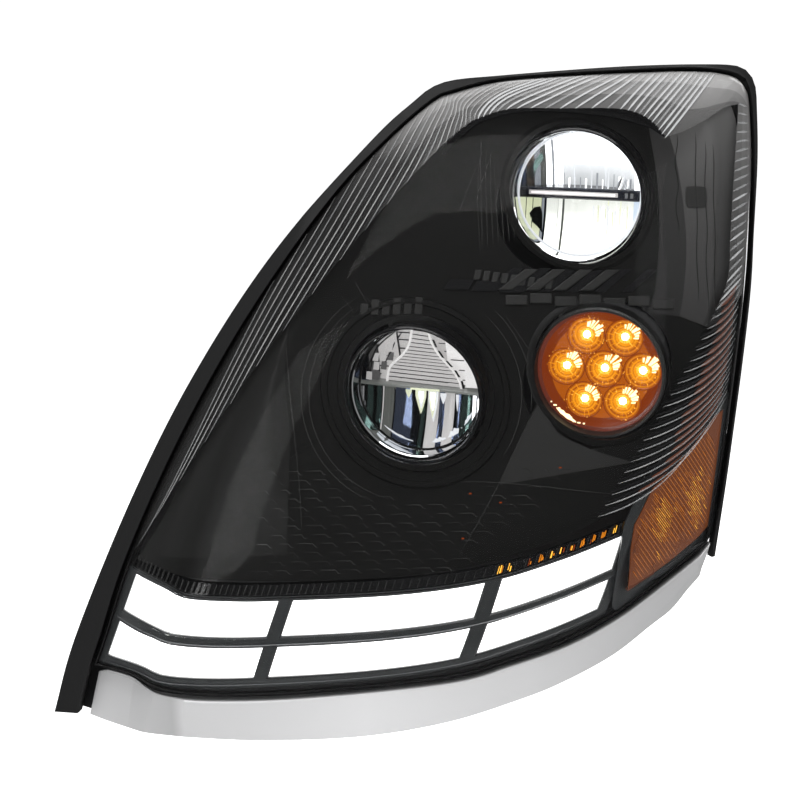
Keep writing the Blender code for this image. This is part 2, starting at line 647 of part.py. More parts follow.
def build_drl():
    def frame_point(u, q):
        return drl_point(u, q, DRL_GAP)

    def diffuser_point(u, q):
        return drl_point(u, q, DRL_GAP + DIFFUSER_BACK)

    def board_point(u, q):
        return drl_point(u, q, DRL_GAP + DRL_BOARD_BACK)

    sheet("drl_frame", frame_point, DRL_STATIONS, DRL_LEVELS, 2.6, GREY_PLASTIC, in_drl_window)
    inner_stations = [u for u in DRL_STATIONS if -259 < u < 164]
    for name, low, high in (("drl_diffuser_lower", -0.04, 0.47), ("drl_diffuser_upper", 0.51, 1.04)):
        levels = [low, (low + high) / 2, high]
        sheet(name, diffuser_point, inner_stations, levels, 3, WHITE_DIFFUSER)
    board_stations = [u for u in DRL_STATIONS if -230 < u < 164]
    sheet("drl_board", board_point, board_stations, [0.08, 0.5, 0.94], 1.6, BOARD)


# ---------------------------------------------------------------- side reflector
def build_side_marker():
    outline = smooth_curve(REFLEX_OUTLINE + REFLEX_OUTLINE[:1], 25)[:-1][::-1]
    for name, gap, share, thickness, finish in (
        ("side_reflector", 8, 1, 3, AMBER),
        ("side_marker_board", 18, 0.72, 1.6, BOARD),
    ):
        rings = []
        for ring_share in (1, 0.6, 0.25):
            ring = scaled(outline, ring_share * share, REFLEX_CENTRE)
            rings.append([bowed_point(u, v, lens_height(u, v) - gap) for u, v in ring])
        tip = bowed_point(*REFLEX_CENTRE, lens_height(*REFLEX_CENTRE) - gap)
        thicken(loft(name, rings, finish, cap_start=False, centre_end=tip), thickness)


# ---------------------------------------------------------------- turn signal
def led_places(place):
    """Centres of seven lamps: one in the middle and six round it."""
    pitch = TURN_LED_PITCH * MM
    ring = [Vector((cos(k * tau / 6), 0, sin(k * tau / 6))) * pitch for k in range(6)]
    return [place] + [place + step for step in ring]


def build_turn_signal():
    place = lamp_place(TURN_SIGNAL)
    ring = [(TURN_RING_INNER, -8), (TURN_RING_OUTER, -7), (TURN_RING_OUTER, 3.6), (TURN_RING_INNER, 3.6)]
    turned("turn_signal_ring", ring, place, GLOSS_BLACK)
    radius, crown = TURN_LENS_RADIUS, TURN_LENS_CROWN
    dome = [(radius * k / 3, -crown * (1 - (k / 3) ** 2)) for k in range(4)]
    inner = [(radius * k / 3 * 0.96, 2 - crown * (1 - (k / 3) ** 2)) for k in range(4)]
    turned("turn_signal_lens", dome + [(radius, 3.6), (radius * 0.96, 3.6)] + inner[::-1], place, CLEAR_PLASTIC)
    floor = TURN_CUP_DEPTH - 2
    cup = [(0, TURN_CUP_DEPTH), (54, TURN_CUP_DEPTH), (54, 4), (51.8, 4), (51.8, floor), (0, floor)]
    turned("turn_signal_housing", cup, place, BLACK_PLASTIC)
    front, back = TURN_REFLECTOR_FRONT, TURN_REFLECTOR_BACK
    reflector = rod("turn_signal_reflector", 50.5, front, back, place, CHROME, sides=ROUND)
    for index, centre in enumerate(led_places(place)):
        bm = bmesh.new()
        spread = (TURN_CONE_FRONT - TURN_CONE_BACK) / (back - front)
        bmesh.ops.create_cone(bm, cap_ends=True, segments=12, radius1=(TURN_CONE_FRONT + spread) * MM,
                              radius2=(TURN_CONE_BACK - spread) * MM, depth=(back - front + 2) * MM)
        cone = from_bmesh(f"led_cone_{index}", bm)
        cone.rotation_euler = (-pi / 2, 0, 0)
        cone.location = centre + Vector((0, (front + back) / 2 * MM, 0))
        cut(reflector, cone)
    board = rod("turn_signal_board", 48, back + 0.5, back + 2.1, place, BOARD, sides=ROUND)
    for index, centre in enumerate(led_places(place)):
        join(board, rod(f"led_{index}", LED_RADIUS, back + 1 - LED_HEIGHT, back + 1, centre, sides=12))


# ---------------------------------------------------------------- beam units
def reflector_radius(depth):
    return REFLECTOR_RADIUS * sqrt(max(0, 1 - (depth - REFLECTOR_FRONT) / REFLECTOR_DEPTH))


def build_reflector(name, place):
    steps = 4
    radii = [REFLECTOR_RADIUS + (REFLECTOR_HOLE - REFLECTOR_RADIUS) * k / steps for k in range(steps + 1)]
    inside = [(r, REFLECTOR_FRONT + REFLECTOR_DEPTH * (1 - (r / REFLECTOR_RADIUS) ** 2)) for r in radii]
    outside = [
        (r + REFLECTOR_WALL, d + REFLECTOR_WALL * (1 if d > REFLECTOR_FRONT else 0))
        for r, d in inside
    ]
    turned(name, inside + outside[::-1], place, CHROME)


def build_bar(name, place):
    """The bridge across the reflector that carries the diodes and the light guide."""
    depths = [7, 12, 18, 24]
    edge = [(reflector_radius(d) - 1.2, d) for d in depths]
    edge += [(11, 27), (11, BOARD_DEPTH - 0.5)]
    outline = edge + [(-x, d) for x, d in reversed(edge)]
    prism(name, outline, -BAR_THICK / 2, BAR_THICK / 2, place, GLOSS_BLACK)


def build_heat_sink(name, place):
    """A comb of fins on a base, extruded upwards."""
    half = SINK_WIDTH / 2
    pitch = SINK_WIDTH / (SINK_FINS - 0.55)
    thick = pitch * 0.45
    base = SINK_DEPTH + SINK_BASE
    outline = [(-half, SINK_DEPTH)]
    for k in range(SINK_FINS):
        x = -half + k * pitch
        if k > 0:
            outline.append((x, base))
        outline += [(x, SINK_END), (x + thick, SINK_END)]
        if k < SINK_FINS - 1:
            outline.append((x + thick, base))
    outline.append((half, SINK_DEPTH))
    prism(name, outline, -SINK_HEIGHT / 2, SINK_HEIGHT / 2, place, ALUMINIUM)


def build_carrier(name, place):
    """The plate that holds a beam unit, with a ball socket at each side and an arm for the aiming nut."""
    start, end = CARRIER_DEPTH, CARRIER_DEPTH + CARRIER_THICK
    rim, sleeve_end = BEAM_RING_END + 0.4, SINK_DEPTH - 0.3
    plate = [
        (CARRIER_HOLE, start), (GLASS_RADIUS + 0.5, start), (GLASS_RADIUS + 0.5, rim), (CARRIER_RADIUS, rim),
        (CARRIER_RADIUS, end), (CARRIER_SLEEVE, end), (CARRIER_SLEEVE, sleeve_end), (CARRIER_HOLE, sleeve_end),
    ]
    carrier = turned(name, plate, place, BLACK_PLASTIC)
    arm_bottom = -AIM_DROP - 8
    join(carrier, block(name + "_arm", (-8, start, arm_bottom), (8, end, -CARRIER_RADIUS + 6), place))
    socket_start = PIVOT_DEPTH - SOCKET_LENGTH / 2
    bores = [rod(name + "_arm_hole", AIM_BORE + 0.8, start - 5, end + 5, place, offset_z=-AIM_DROP)]
    for side in (-1, 1):
        x = side * PIVOT_SPREAD
        near, far = sorted((side * (CARRIER_RADIUS - 5), x))
        join(carrier, block(f"{name}_ear_{side}", (near, start, -7), (far, end, 7), place))
        socket_end = socket_start + SOCKET_LENGTH
        join(carrier, rod(f"{name}_socket_{side}", SOCKET_BODY, socket_start, socket_end, place, offset_x=x))
        neck_end = PIVOT_DEPTH + SOCKET_LENGTH
        bores.append(rod(f"{name}_neck_{side}", NECK_BORE, PIVOT_DEPTH, neck_end, place, offset_x=x))
        bm = bmesh.new()
        bmesh.ops.create_uvsphere(bm, u_segments=10, v_segments=6, radius=SOCKET_RADIUS * MM)
        ball = from_bmesh(f"{name}_cavity_{side}", bm)
        ball.location = place + Vector((x, PIVOT_DEPTH, 0)) * MM
        bores.append(ball)
    return cut(carrier, *bores)


def build_pivot_stud(name, place):
    """A ball stud.  Its neck leaves the ball's back, and its shank sits in the housing's post."""
    neck_start = PIVOT_DEPTH + sqrt(BALL_RADIUS**2 - NECK_RADIUS**2)
    turn_back = atan2(NECK_RADIUS, neck_start - PIVOT_DEPTH)
    steps = 4
    profile = []
    for k in range(steps + 1):
        angle = pi - (pi - turn_back) * k / steps
        profile.append((BALL_RADIUS * sin(angle) if k else 0, PIVOT_DEPTH + BALL_RADIUS * cos(angle)))
    flange_end = POST_DEPTH - 0.4
    profile += [
        (NECK_RADIUS, STUD_FLANGE_DEPTH), (6, STUD_FLANGE_DEPTH), (6, flange_end),
        (STUD_SHANK, flange_end), (STUD_SHANK, STUD_END), (0, STUD_END),
    ]
    turned(name, profile, place, STEEL, sides=12)


def build_aim_screw(name, place):
    """The aiming screw: a long rod with a flanged hexagon outside the housing."""
    flange = aim_guide_end(place) + 0.6
    axis = place + Vector((0, 0, -AIM_DROP * MM))
    profile = [
        (0, AIM_FRONT), (AIM_RADIUS, AIM_FRONT), (AIM_RADIUS, flange), (AIM_FLANGE_RADIUS, flange),
        (AIM_FLANGE_RADIUS, flange + AIM_FLANGE_THICK), (0, flange + AIM_FLANGE_THICK),
    ]
    screw = turned(name, profile, axis, NYLON, sides=16)
    return join(screw, rod(name + "_hexagon", AIM_HEAD_RADIUS, flange + 1, flange + AIM_HEAD_LENGTH, axis, sides=6))


def build_cap(name, place):
    """The service cap, which twists on to the tube, and its flat seal."""
    end = tube_end(place)
    seal_start = end + 0.4
    seal_inner, seal_end = TUBE_INNER + 0.5, seal_start + SEAL_THICK
    seal = [(seal_inner, seal_start), (TUBE_OUTER, seal_start), (TUBE_OUTER, seal_end), (seal_inner, seal_end)]
    turned(name + "_seal", seal, place, RUBBER)
    top = seal_start + SEAL_THICK + 0.4
    profile = [
        (0, top), (TUBE_OUTER + 1, top), (TUBE_OUTER + 1, top - CAP_SKIRT), (CAP_RADIUS, top - CAP_SKIRT),
        (CAP_RADIUS, top + CAP_TOP - 1.5), (CAP_RADIUS - 1.5, top + CAP_TOP), (0, top + CAP_TOP),
    ]
    cap = turned(name, profile, place, BLACK_PLASTIC)
    grip = block(name + "_grip", (-36, top + 1, -3), (36, top + CAP_TOP + CAP_GRIP, 3), place)
    return join(cap, grip)


def build_beam(name, lamp):
    place = lamp_place(lamp)
    crown = [(GLASS_RADIUS * k / 3, -2 + 2.4 * (k / 3) ** 2) for k in range(4)]
    turned(name + "_glass", crown + [(GLASS_RADIUS, GLASS_THICK), (0, GLASS_THICK)], place, CLEAR_GLASS)
    bore = GLASS_RADIUS + 0.5
    ring = [(bore, 0.5), (BEAM_RING_RADIUS, 1.5), (BEAM_RING_RADIUS, BEAM_RING_END), (bore, BEAM_RING_END)]
    turned(name + "_ring", ring, place, CHROME)
    build_reflector(name + "_reflector", place)
    build_bar(name + "_bar", place)
    rod(name + "_board", BOARD_RADIUS, BOARD_DEPTH, BOARD_DEPTH + BOARD_THICK, place, BOARD, sides=24)
    build_heat_sink(name + "_heat_sink", place)
    build_carrier(name + "_carrier", place)
    nut_start = CARRIER_DEPTH + CARRIER_THICK + 0.4
    nut_axis = place + Vector((0, 0, -AIM_DROP * MM))
    nut_end = nut_start + 10
    nut = [(NUT_BORE, nut_start), (7.5, nut_start), (7.5, nut_end), (NUT_BORE, nut_end)]
    turned(name + "_aim_nut", nut, nut_axis, NYLON, sides=16)
    build_aim_screw(name + "_aim_screw", place)
    for side, word in ((-1, "inboard"), (1, "outboard")):
        build_pivot_stud(f"{name}_pivot_{word}", place + Vector((side * PIVOT_SPREAD * MM, 0, 0)))
    build_collar(name + "_collar", lamp)
    build_cap(name + "_cap", place)


# ---------------------------------------------------------------- bracket, driver, socket and breathers
def corners(width, height, centre=(0, 0)):
    return [(centre[0] + x * width, centre[1] + z * height) for x in (-1, 1) for z in (-1, 1)]


def bracket_bolts():
    return corners(BRACKET_BOLT_X, BRACKET_BOLT_Z)


def driver_screws():
    return corners(*DRIVER_SCREW, DRIVER_CENTRE)


def build_bolt(name, x, z, head_start, shank_end, shank=BOLT_SHANK, head=BOLT_HEAD):
    """A hexagon bolt that comes in from the rear.  Depths are Y in mm."""
    place = Vector((x * MM, 0, z * MM))
    bolt = rod(name, head, head_start, head_start + BOLT_HEAD_THICK, place, STEEL, sides=6)
    return join(bolt, rod(name + "_shank", shank, shank_end, head_start + 1, place, sides=12))


def build_bracket():
    half_x, half_z = BRACKET_WIDTH / 2, BRACKET_HEIGHT / 2
    origin = Vector((0, 0, 0))
    plate = block("mounting_bracket", (-half_x, -BRACKET_THICK, -half_z), (half_x, 0, half_z), origin, BLACK_STEEL)
    holes = []
    for index, (x, z) in enumerate(corners(BRACKET_HOLE_X, BRACKET_HOLE_Z)):
        holes.append(rod(f"truck_hole_{index}", BRACKET_HOLE, -9, 6, Vector((x * MM, 0, z * MM)), sides=20))
    for index, (x, z) in enumerate(bracket_bolts()):
        holes.append(rod(f"bracket_hole_{index}", BOLT_HOLE, -9, 6, Vector((x * MM, 0, z * MM))))
        at = Vector((x * MM, 0, z * MM))
        holes.append(rod(f"bracket_seat_{index}", BOLT_SEAT, -BOLT_SEAT_DEPTH, 6, at, sides=16))
        build_bolt(f"bracket_bolt_{index + 1}", x, z, 0.4 - BOLT_SEAT_DEPTH, -20)
    cut(plate, *holes)
    for side in (-1, 1):
        low_corner = (-half_x, -8, side * half_z - 1.5)
        high_corner = (half_x, -0.5, side * half_z + 1.5)
        flange = block(f"bracket_flange_{side}", low_corner, high_corner, origin)
        join(plate, flange)


def build_driver():
    """The LED driver: a cast box with cooling fins on its back."""
    x, z = DRIVER_CENTRE
    place = Vector((x * MM, DRIVER_FACE * MM, z * MM))
    wide, deep, tall = DRIVER_SIZE
    base = deep * 0.55
    outline = [(-wide / 2, 0), (-wide / 2, base)]
    pitch = (wide - 12) / DRIVER_FINS
    for k in range(DRIVER_FINS):
        left = -wide / 2 + 6 + k * pitch + pitch * 0.25
        right = left + pitch * 0.5
        outline += [(left, base), (left, deep), (right, deep), (right, base)]
    outline += [(wide / 2, base), (wide / 2, 0)]
    driver = prism("led_driver", outline, -tall / 2, tall / 2, place, ALUMINIUM)
    holes = []
    for index, (screw_x, screw_z) in enumerate(driver_screws()):
        at = Vector((screw_x * MM, 0, screw_z * MM))
        holes.append(rod(f"driver_hole_{index}", 2.6, DRIVER_FACE - 3, DRIVER_FACE + deep + 3, at, sides=12))
        holes.append(rod(f"driver_seat_{index}", 5.4, DRIVER_FACE + base - 3, DRIVER_FACE + deep + 3, at, sides=12))
        build_bolt(f"driver_screw_{index + 1}", screw_x, screw_z, DRIVER_FACE + base - 2.6, DRIVER_FACE - 12, 2, 4.4)
    cut(driver, *holes)


def build_socket():
    """The harness inlet: a shrouded socket with six blades, and a rib that keys the plug."""
    x, z = SOCKET_CENTRE
    place = Vector((x * MM, SOCKET_FACE * MM, z * MM))
    wide, tall, deep = SOCKET_SIZE
    body = block("harness_socket", (-wide / 2, 0, -tall / 2), (wide / 2, deep, tall / 2), place, BLACK_PLASTIC)
    flange = block("socket_flange", (-wide / 2 - 4, 0, -tall / 2 - 3), (wide / 2 + 4, 3, tall / 2 + 3), place)
    inner_x, inner_z = wide / 2 - SOCKET_WALL, tall / 2 - SOCKET_WALL
    pocket = block("socket_pocket", (-inner_x, SOCKET_FLOOR, -inner_z), (inner_x, deep + 5, inner_z), place)
    join(body, flange)
    cut(body, pocket)
    for row in range(PIN_ROWS):
        for column in range(PIN_COLUMNS):
            pin_x = (column - (PIN_COLUMNS - 1) / 2) * PIN_PITCH
            pin_z = (row - (PIN_ROWS - 1) / 2) * PIN_PITCH
            pin = block(f"pin_{row}_{column}", (pin_x - 1.4, SOCKET_FLOOR - 1, pin_z - 0.4),
                        (pin_x + 1.4, SOCKET_FLOOR + PIN_LENGTH, pin_z + 0.4), place)
            join(body, pin)
    join(body, block("socket_latch", (-4, 8, tall / 2 - 1), (4, 14, tall / 2 + 2.5), place))


def build_vents():
    """Rubber breather caps, pushed over the housing's nozzles."""
    for (x, z), word in zip(VENTS, ("inboard", "outboard")):
        end = back_wall_depth(x, z) + 14
        place = Vector((x * MM, end * MM, z * MM))
        bore = VENT_RADIUS + 0.4
        profile = [
            (0, 4), (VENT_CAP - 1.5, 4), (VENT_CAP, 2.5), (VENT_CAP, -4),
            (bore + 1.2, -6), (bore, -6), (bore, 0.5), (0, 0.5),
        ]
        turned("breather_" + word, profile, place, RUBBER, sides=18)


build_housing()
build_lens()
build_sealant()
build_edge_gasket()
build_lower_trim()
build_inner_bezel()
build_drl()
build_side_marker()
build_turn_signal()
build_beam("low_beam", LOW_BEAM)
build_beam("high_beam", HIGH_BEAM)
build_bracket()
build_driver()
build_socket()
build_vents()
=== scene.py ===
"""The looks of the headlight assembly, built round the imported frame.

The curved parts are laid out on the same face as in the CAD: u runs to the viewer's right, v up
and w out of the lamp, in millimetres.  The lamps look straight ahead, along -Y, and their depths
run back along +Y from the front of each unit.
"""

import json
import random
from math import cos, exp, hypot, pi, radians, sin, sqrt, tau

import bmesh
import bpy
from mathutils import Matrix, Vector


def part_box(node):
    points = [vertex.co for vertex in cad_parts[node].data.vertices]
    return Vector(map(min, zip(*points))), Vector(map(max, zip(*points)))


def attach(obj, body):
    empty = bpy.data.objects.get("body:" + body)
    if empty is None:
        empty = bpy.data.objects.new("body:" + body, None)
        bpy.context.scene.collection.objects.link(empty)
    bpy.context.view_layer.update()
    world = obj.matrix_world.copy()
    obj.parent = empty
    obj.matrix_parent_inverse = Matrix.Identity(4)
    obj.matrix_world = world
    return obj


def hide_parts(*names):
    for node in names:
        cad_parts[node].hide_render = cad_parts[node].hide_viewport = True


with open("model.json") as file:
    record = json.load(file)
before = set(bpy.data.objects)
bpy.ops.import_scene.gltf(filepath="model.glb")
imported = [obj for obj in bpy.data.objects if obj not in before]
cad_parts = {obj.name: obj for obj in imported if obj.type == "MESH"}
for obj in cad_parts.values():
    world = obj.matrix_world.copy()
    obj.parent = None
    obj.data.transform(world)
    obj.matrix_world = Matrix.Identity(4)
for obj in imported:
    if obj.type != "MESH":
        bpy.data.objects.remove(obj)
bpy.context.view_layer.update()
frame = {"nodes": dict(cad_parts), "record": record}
MM = 0.001
GRAIN_DEPTH = 0.0002
ROOT = "lamp_body"

# ---------------------------------------------------------------- the face, as in the CAD
FACE_SWEEP = radians(16)
FACE_RAKE = radians(16)
FACE_ORIGIN = Vector((93, -110, 100))
FACE_CENTRE = (30, -20)
OUTBOARD_BOW, INBOARD_BOW, UPRIGHT_BOW = 1300, 2200, 3200
CURL_FOOT = (-217, -270)
CURL_LEAN, CURL_SLOPE = 0.327, 0.5
LENS_CROWN, LENS_SQUARENESS, LENS_WALL, LENS_SKIRT = 60, 6, 3, 14
TRIM_BACK = -16.9
FOLD_SECTION, SECTION_STEP = 17, 4.5
BEZEL_FLOOR, BEZEL_FALL, BEZEL_GAP = 20.5, (0.144, 0.102), 12

LENS_BOTTOM = [
    (-268, -232), (-233, -236), (-215, -243), (-198, -247), (-158, -249), (-82, -245),
    (36, -232), (85, -219), (133, -203), (176, -181), (220, -150), (255, -124),
]
LENS_SIDE = [
    (255, -124), (269, -43), (286, 78), (292, 139), (295, 200), (295, 234), (293, 260), (284, 272),
    (248, 275), (186, 269), (127, 263), (77, 257), (40, 247), (22, 239), (-15, 206), (-60, 157),
    (-129, 61), (-186, -37), (-234, -138), (-258, -206), (-268, -232),
]
GASKET_OUTER = [
    (259, -135), (273, -43), (290, 78), (295, 139), (300, 200), (300.9, 243), (300, 266), (293, 277.8),
    (281, 281.8), (249, 280), (187, 274), (127, 267), (75, 261), (40, 257), (22, 251), (7, 239),
    (-28, 206), (-112, 110), (-178, 12), (-231, -88), (-284, -208), (-305, -275),
]
TRIM_OUTER = [
    (-275, -275), (-227, -282), (-185, -284), (-114, -285), (-32, -280), (36, -268), (92, -251),
    (127, -238), (171, -216), (204, -192), (222, -179), (236, -163), (248, -150), (253, -139),
]
BEZEL_OUTLINE = [
    (-226, -136), (-199, -139), (-166, -144), (-95, -145), (-4, -141), (63, -132), (120, -114),
    (158, -97), (190, -66), (226, -27), (256, 14), (268, 78), (275, 139), (277, 200), (274, 238),
    (262, 254), (240, 256), (186, 251), (127, 245), (77, 238), (46, 228), (30, 218), (-4, 186),
    (-48, 140), (-84, 95), (-116, 45), (-146, -5), (-172, -50), (-196, -97), (-220, -132),
]
BEZEL_CENTRE = (50, 40)
REFLEX_OUTLINE = [
    (264, -12), (252, -109), (216, -137), (180, -160), (179, -122), (181, -103), (199, -68), (230, -30),
]
REFLEX_CENTRE = (222, -98)
REFLEX_SURROUND = [
    (271, 2), (269, -40), (264, -80), (256, -118), (219, -147), (177, -176), (168, -165), (171, -118),
    (175, -97), (195, -62), (227, -23), (258, -2),
]
DRL_LOWER_EDGE = [
    (-263, -216), (-250, -218), (-219, -224), (-200, -229.5), (-160, -230.5), (-120, -228.5),
    (-21, -221), (50, -209.5), (108, -192), (156, -174), (171, -167),
]
DRL_RISE_INBOARD, DRL_RISE_OUTBOARD = (27, 70), (16, 62)
DRL_WINDOWS = [(-250, -123), (-111, 43), (57, 156)]
DRL_ROWS = [(0, 0.42), (0.56, 1)]
DRL_GAP = 13
WINDOW_GROWTH = (1.4, 0.022)

# The fluting of the lens: pairs of points, on its edge and on the inner border of the fluted band.
TOP_BAND = [
    ((-236, -143), (-222, -125)), ((-186, -37), (-165, -45)), ((-129, 61), (-100, 44)),
    ((-60, 157), (-28, 132)), ((-15, 206), (24, 190)), ((22, 239), (47, 212)), ((40, 247), (60, 220)),
    ((77, 257), (85, 228)), ((127, 263), (127, 229)), ((186, 269), (173, 230)), ((230, 273), (195, 222)),
    ((264, 275), (208, 206)),
]
TOP_SKEW = [
    (2.5, 0.1), (3.5, 1.2), (4.5, 2.2), (5.5, 3.2), (6.5, 4.2), (7.2, 5), (8.12, 6.45), (9.52, 9), (11, 11),
]
SIDE_BAND = [
    ((295, 250), (280, 245)), ((295, 195), (272, 182)), ((290, 143), (267, 128)), ((286, 112), (264, 94)),
    ((283, 85), (244, 55)), ((280, 60), (226, 25)), ((277, 38), (206, -6)), ((272, 12), (179, -48)),
    ((266, -8), (162, -76)), ((232, -44), (149, -97)),
]
CORNER_BAND = [
    ((264, 275), (208, 206)), ((278, 273), (224, 212)), ((286, 269), (244, 224)), ((293, 260), (264, 238)),
    ((295, 250), (280, 245)),
]

# The lamps.  Sizes across are in mm from a lamp's axis, and depths run back from its front.
LED_PITCH = 31
LED_SHIFT = Vector((3.4, 0, 1.8))
CUP_STEPS = [
    (0.4, 8.4), (2.0, 8.0), (3.3, 7.8), (4.4, 7.9), (5.4, 7.2), (6.4, 7.3), (7.4, 6.4), (8.4, 6.5),
    (9.6, 5.6), (10.8, 5.6), (12.2, 4.7), (13.6, 4.6), (14.8, 3.6), (15.5, 3.5),
]
CUP_KINDS = [0, 0, 1, 1, 5, 5, 2, 5, 2, 3, 2, 3, 4]
BOWL_RIM, BOWL_FRONT, BOWL_DEPTH = 50.6, 12, 18
GLASS_EDGE = 52.4
FAN_LEFT = [
    (-6.5, 51), (-8, 42), (-10.5, 34), (-15, 27), (-20.5, 21.5), (-26.5, 15), (-29, 7), (-29.5, 2),
]
FAN_RIGHT = [(6.5, 50), (8, 42), (11.5, 34), (16, 27), (25, 17), (30.5, 8), (32.5, 0)]
DROP = [
    (-0.5, 0), (0.5, 0), (0.46, -0.3), (0.3, -0.6), (0.1, -0.9), (0, -1), (-0.14, -0.85), (-0.36, -0.5),
    (-0.5, -0.25),
]
LOW_BEAM_DROPS = [
    (-2, -4, 9, 20, 1, 22), (-1.5, -4.5, 5, 15, 2, 21), (-1, -5, 3, 9, 0, 20), (8.5, -4, 8, 26, 2, 22),
    (8, -4.5, 5.5, 22, 1, 21), (8.5, -5, 3.6, 15, 0, 20), (17, -5, 5, 9, 2, 21), (29, -5, 2.4, 14, 2, 20),
    (-12, -4, 5, 7, 1, 21),
]
CAP_BAR = 9
GUSSETS, GUSSET_START = 8, 50

# The camera and the floor, in mm and in metres.
CAMERA_DISTANCE, CAMERA_LENS, FLOOR_LEVEL = 1300, 72.1, -0.75


# ---------------------------------------------------------------- maths on the face
FACE_RIGHT = Vector((cos(FACE_SWEEP), sin(FACE_SWEEP), 0))
FACE_OUT = Vector((sin(FACE_SWEEP) * cos(FACE_RAKE), -cos(FACE_SWEEP) * cos(FACE_RAKE), sin(FACE_RAKE)))
FACE_UP = FACE_OUT.cross(FACE_RIGHT)


def flat_point(u, v, w):
    return FACE_ORIGIN + FACE_RIGHT * u + FACE_UP * v + FACE_OUT * w


def bow(u, v):
    side = u * u / (OUTBOARD_BOW if u > 0 else INBOARD_BOW)
    curl_line = CURL_FOOT[0] + CURL_LEAN * (v - CURL_FOOT[1])
    return side + v * v / UPRIGHT_BOW + CURL_SLOPE * max(0, curl_line - u)


def bowed_point(u, v, w):
    return flat_point(u, v, w - bow(u, v))


def blend(a, b, share):
    """The point at share of the way from a to b, in any dimension."""
    return tuple(p + (q - p) * share for p, q in zip(a, b))


def spline(points, t):
    """Catmull-Rom through points of any dimension, at t from 0 to len(points) - 1."""
    last = len(points) - 1
    i = min(max(int(t), 0), last - 1)
    t -= i
    b, c = points[i], points[i + 1]
    a = points[i - 1] if i > 0 else [2 * x - y for x, y in zip(b, c)]
    d = points[i + 2] if i + 2 <= last else [2 * y - x for x, y in zip(b, c)]
    return [
        0.5 * (2 * q + (r - p) * t + (2 * p - 5 * q + 4 * r - s) * t * t + (3 * q - p - 3 * r + s) * t**3)
        for p, q, r, s in zip(a, b, c, d)
    ]


def smooth_curve(points, count):
    """count points, evenly spaced, on a curve through the given points."""
    steps = 12
    fine = [spline(points, k / steps) for k in range((len(points) - 1) * steps + 1)]
    lengths = [0]
    for a, b in zip(fine, fine[1:]):
        lengths.append(lengths[-1] + hypot(b[0] - a[0], b[1] - a[1]))
    even, at = [], 0
    for k in range(count):
        goal = lengths[-1] * k / (count - 1)
        while at < len(fine) - 2 and lengths[at + 1] < goal:
            at += 1
        t = (goal - lengths[at]) / max(lengths[at + 1] - lengths[at], 1e-9)
        even.append(blend(fine[at], fine[at + 1], t))
    return even


def scaled(outline, scale, centre=FACE_CENTRE):
    return [(centre[0] + (u - centre[0]) * scale, centre[1] + (v - centre[1]) * scale) for u, v in outline]


def offset(path, distance):
    """The path moved sideways, to the left of its direction of travel."""
    moved = []
    for i, (u, v) in enumerate(path):
        a, b = path[max(i - 1, 0)], path[min(i + 1, len(path) - 1)]
        length = hypot(b[0] - a[0], b[1] - a[1])
        moved.append((u - distance * (b[1] - a[1]) / length, v + distance * (b[0] - a[0]) / length))
    return moved


LENS_RING = smooth_curve(LENS_BOTTOM, 60)[:-1] + smooth_curve(LENS_SIDE, 150)[:-1]


def reach(u, v):
    """Where (u, v) lies between the face's centre, at 0, and the edge of the lens, at 1."""
    du, dv = u - FACE_CENTRE[0], v - FACE_CENTRE[1]
    if hypot(du, dv) < 1e-6:
        return 0
    for (au, av), (bu, bv) in zip(LENS_RING, LENS_RING[1:] + LENS_RING[:1]):
        au, av, bu, bv = au - FACE_CENTRE[0], av - FACE_CENTRE[1], bu - FACE_CENTRE[0], bv - FACE_CENTRE[1]
        before, after = au * dv - av * du, bu * dv - bv * du
        if before >= 0 > after and au * du + av * dv > 0:
            t = before / (before - after)
            return hypot(du, dv) / hypot(au + (bu - au) * t, av + (bv - av) * t)
    return 1


def lens_height(u, v):
    return LENS_CROWN * (1 - min(reach(u, v), 1) ** LENS_SQUARENESS)


def behind_lens(u, v, gap):
    return bowed_point(u, v, lens_height(u, v) - gap)


def bezel_point(u, v, lift=0.0):
    """A point on the bezel, lifted towards the viewer."""
    floor = BEZEL_FLOOR - BEZEL_FALL[0] * u - BEZEL_FALL[1] * v + bow(u, v)
    return bowed_point(u, v, min(floor, lens_height(u, v) - BEZEL_GAP) + lift)


def face_of(point):
    """The u and v of a point."""
    return (point - FACE_ORIGIN).dot(FACE_RIGHT), (point - FACE_ORIGIN).dot(FACE_UP)


# ---------------------------------------------------------------- materials
def noise(made, scale):
    """A noise texture on object coordinates, which are metres in the row's frame."""
    nodes, links = made.node_tree.nodes, made.node_tree.links
    where = nodes.new("ShaderNodeTexCoord")
    found = nodes.new("ShaderNodeTexNoise")
    found.inputs["Scale"].default_value = scale
    links.new(where.outputs["Object"], found.inputs["Vector"])
    return found.outputs[0]


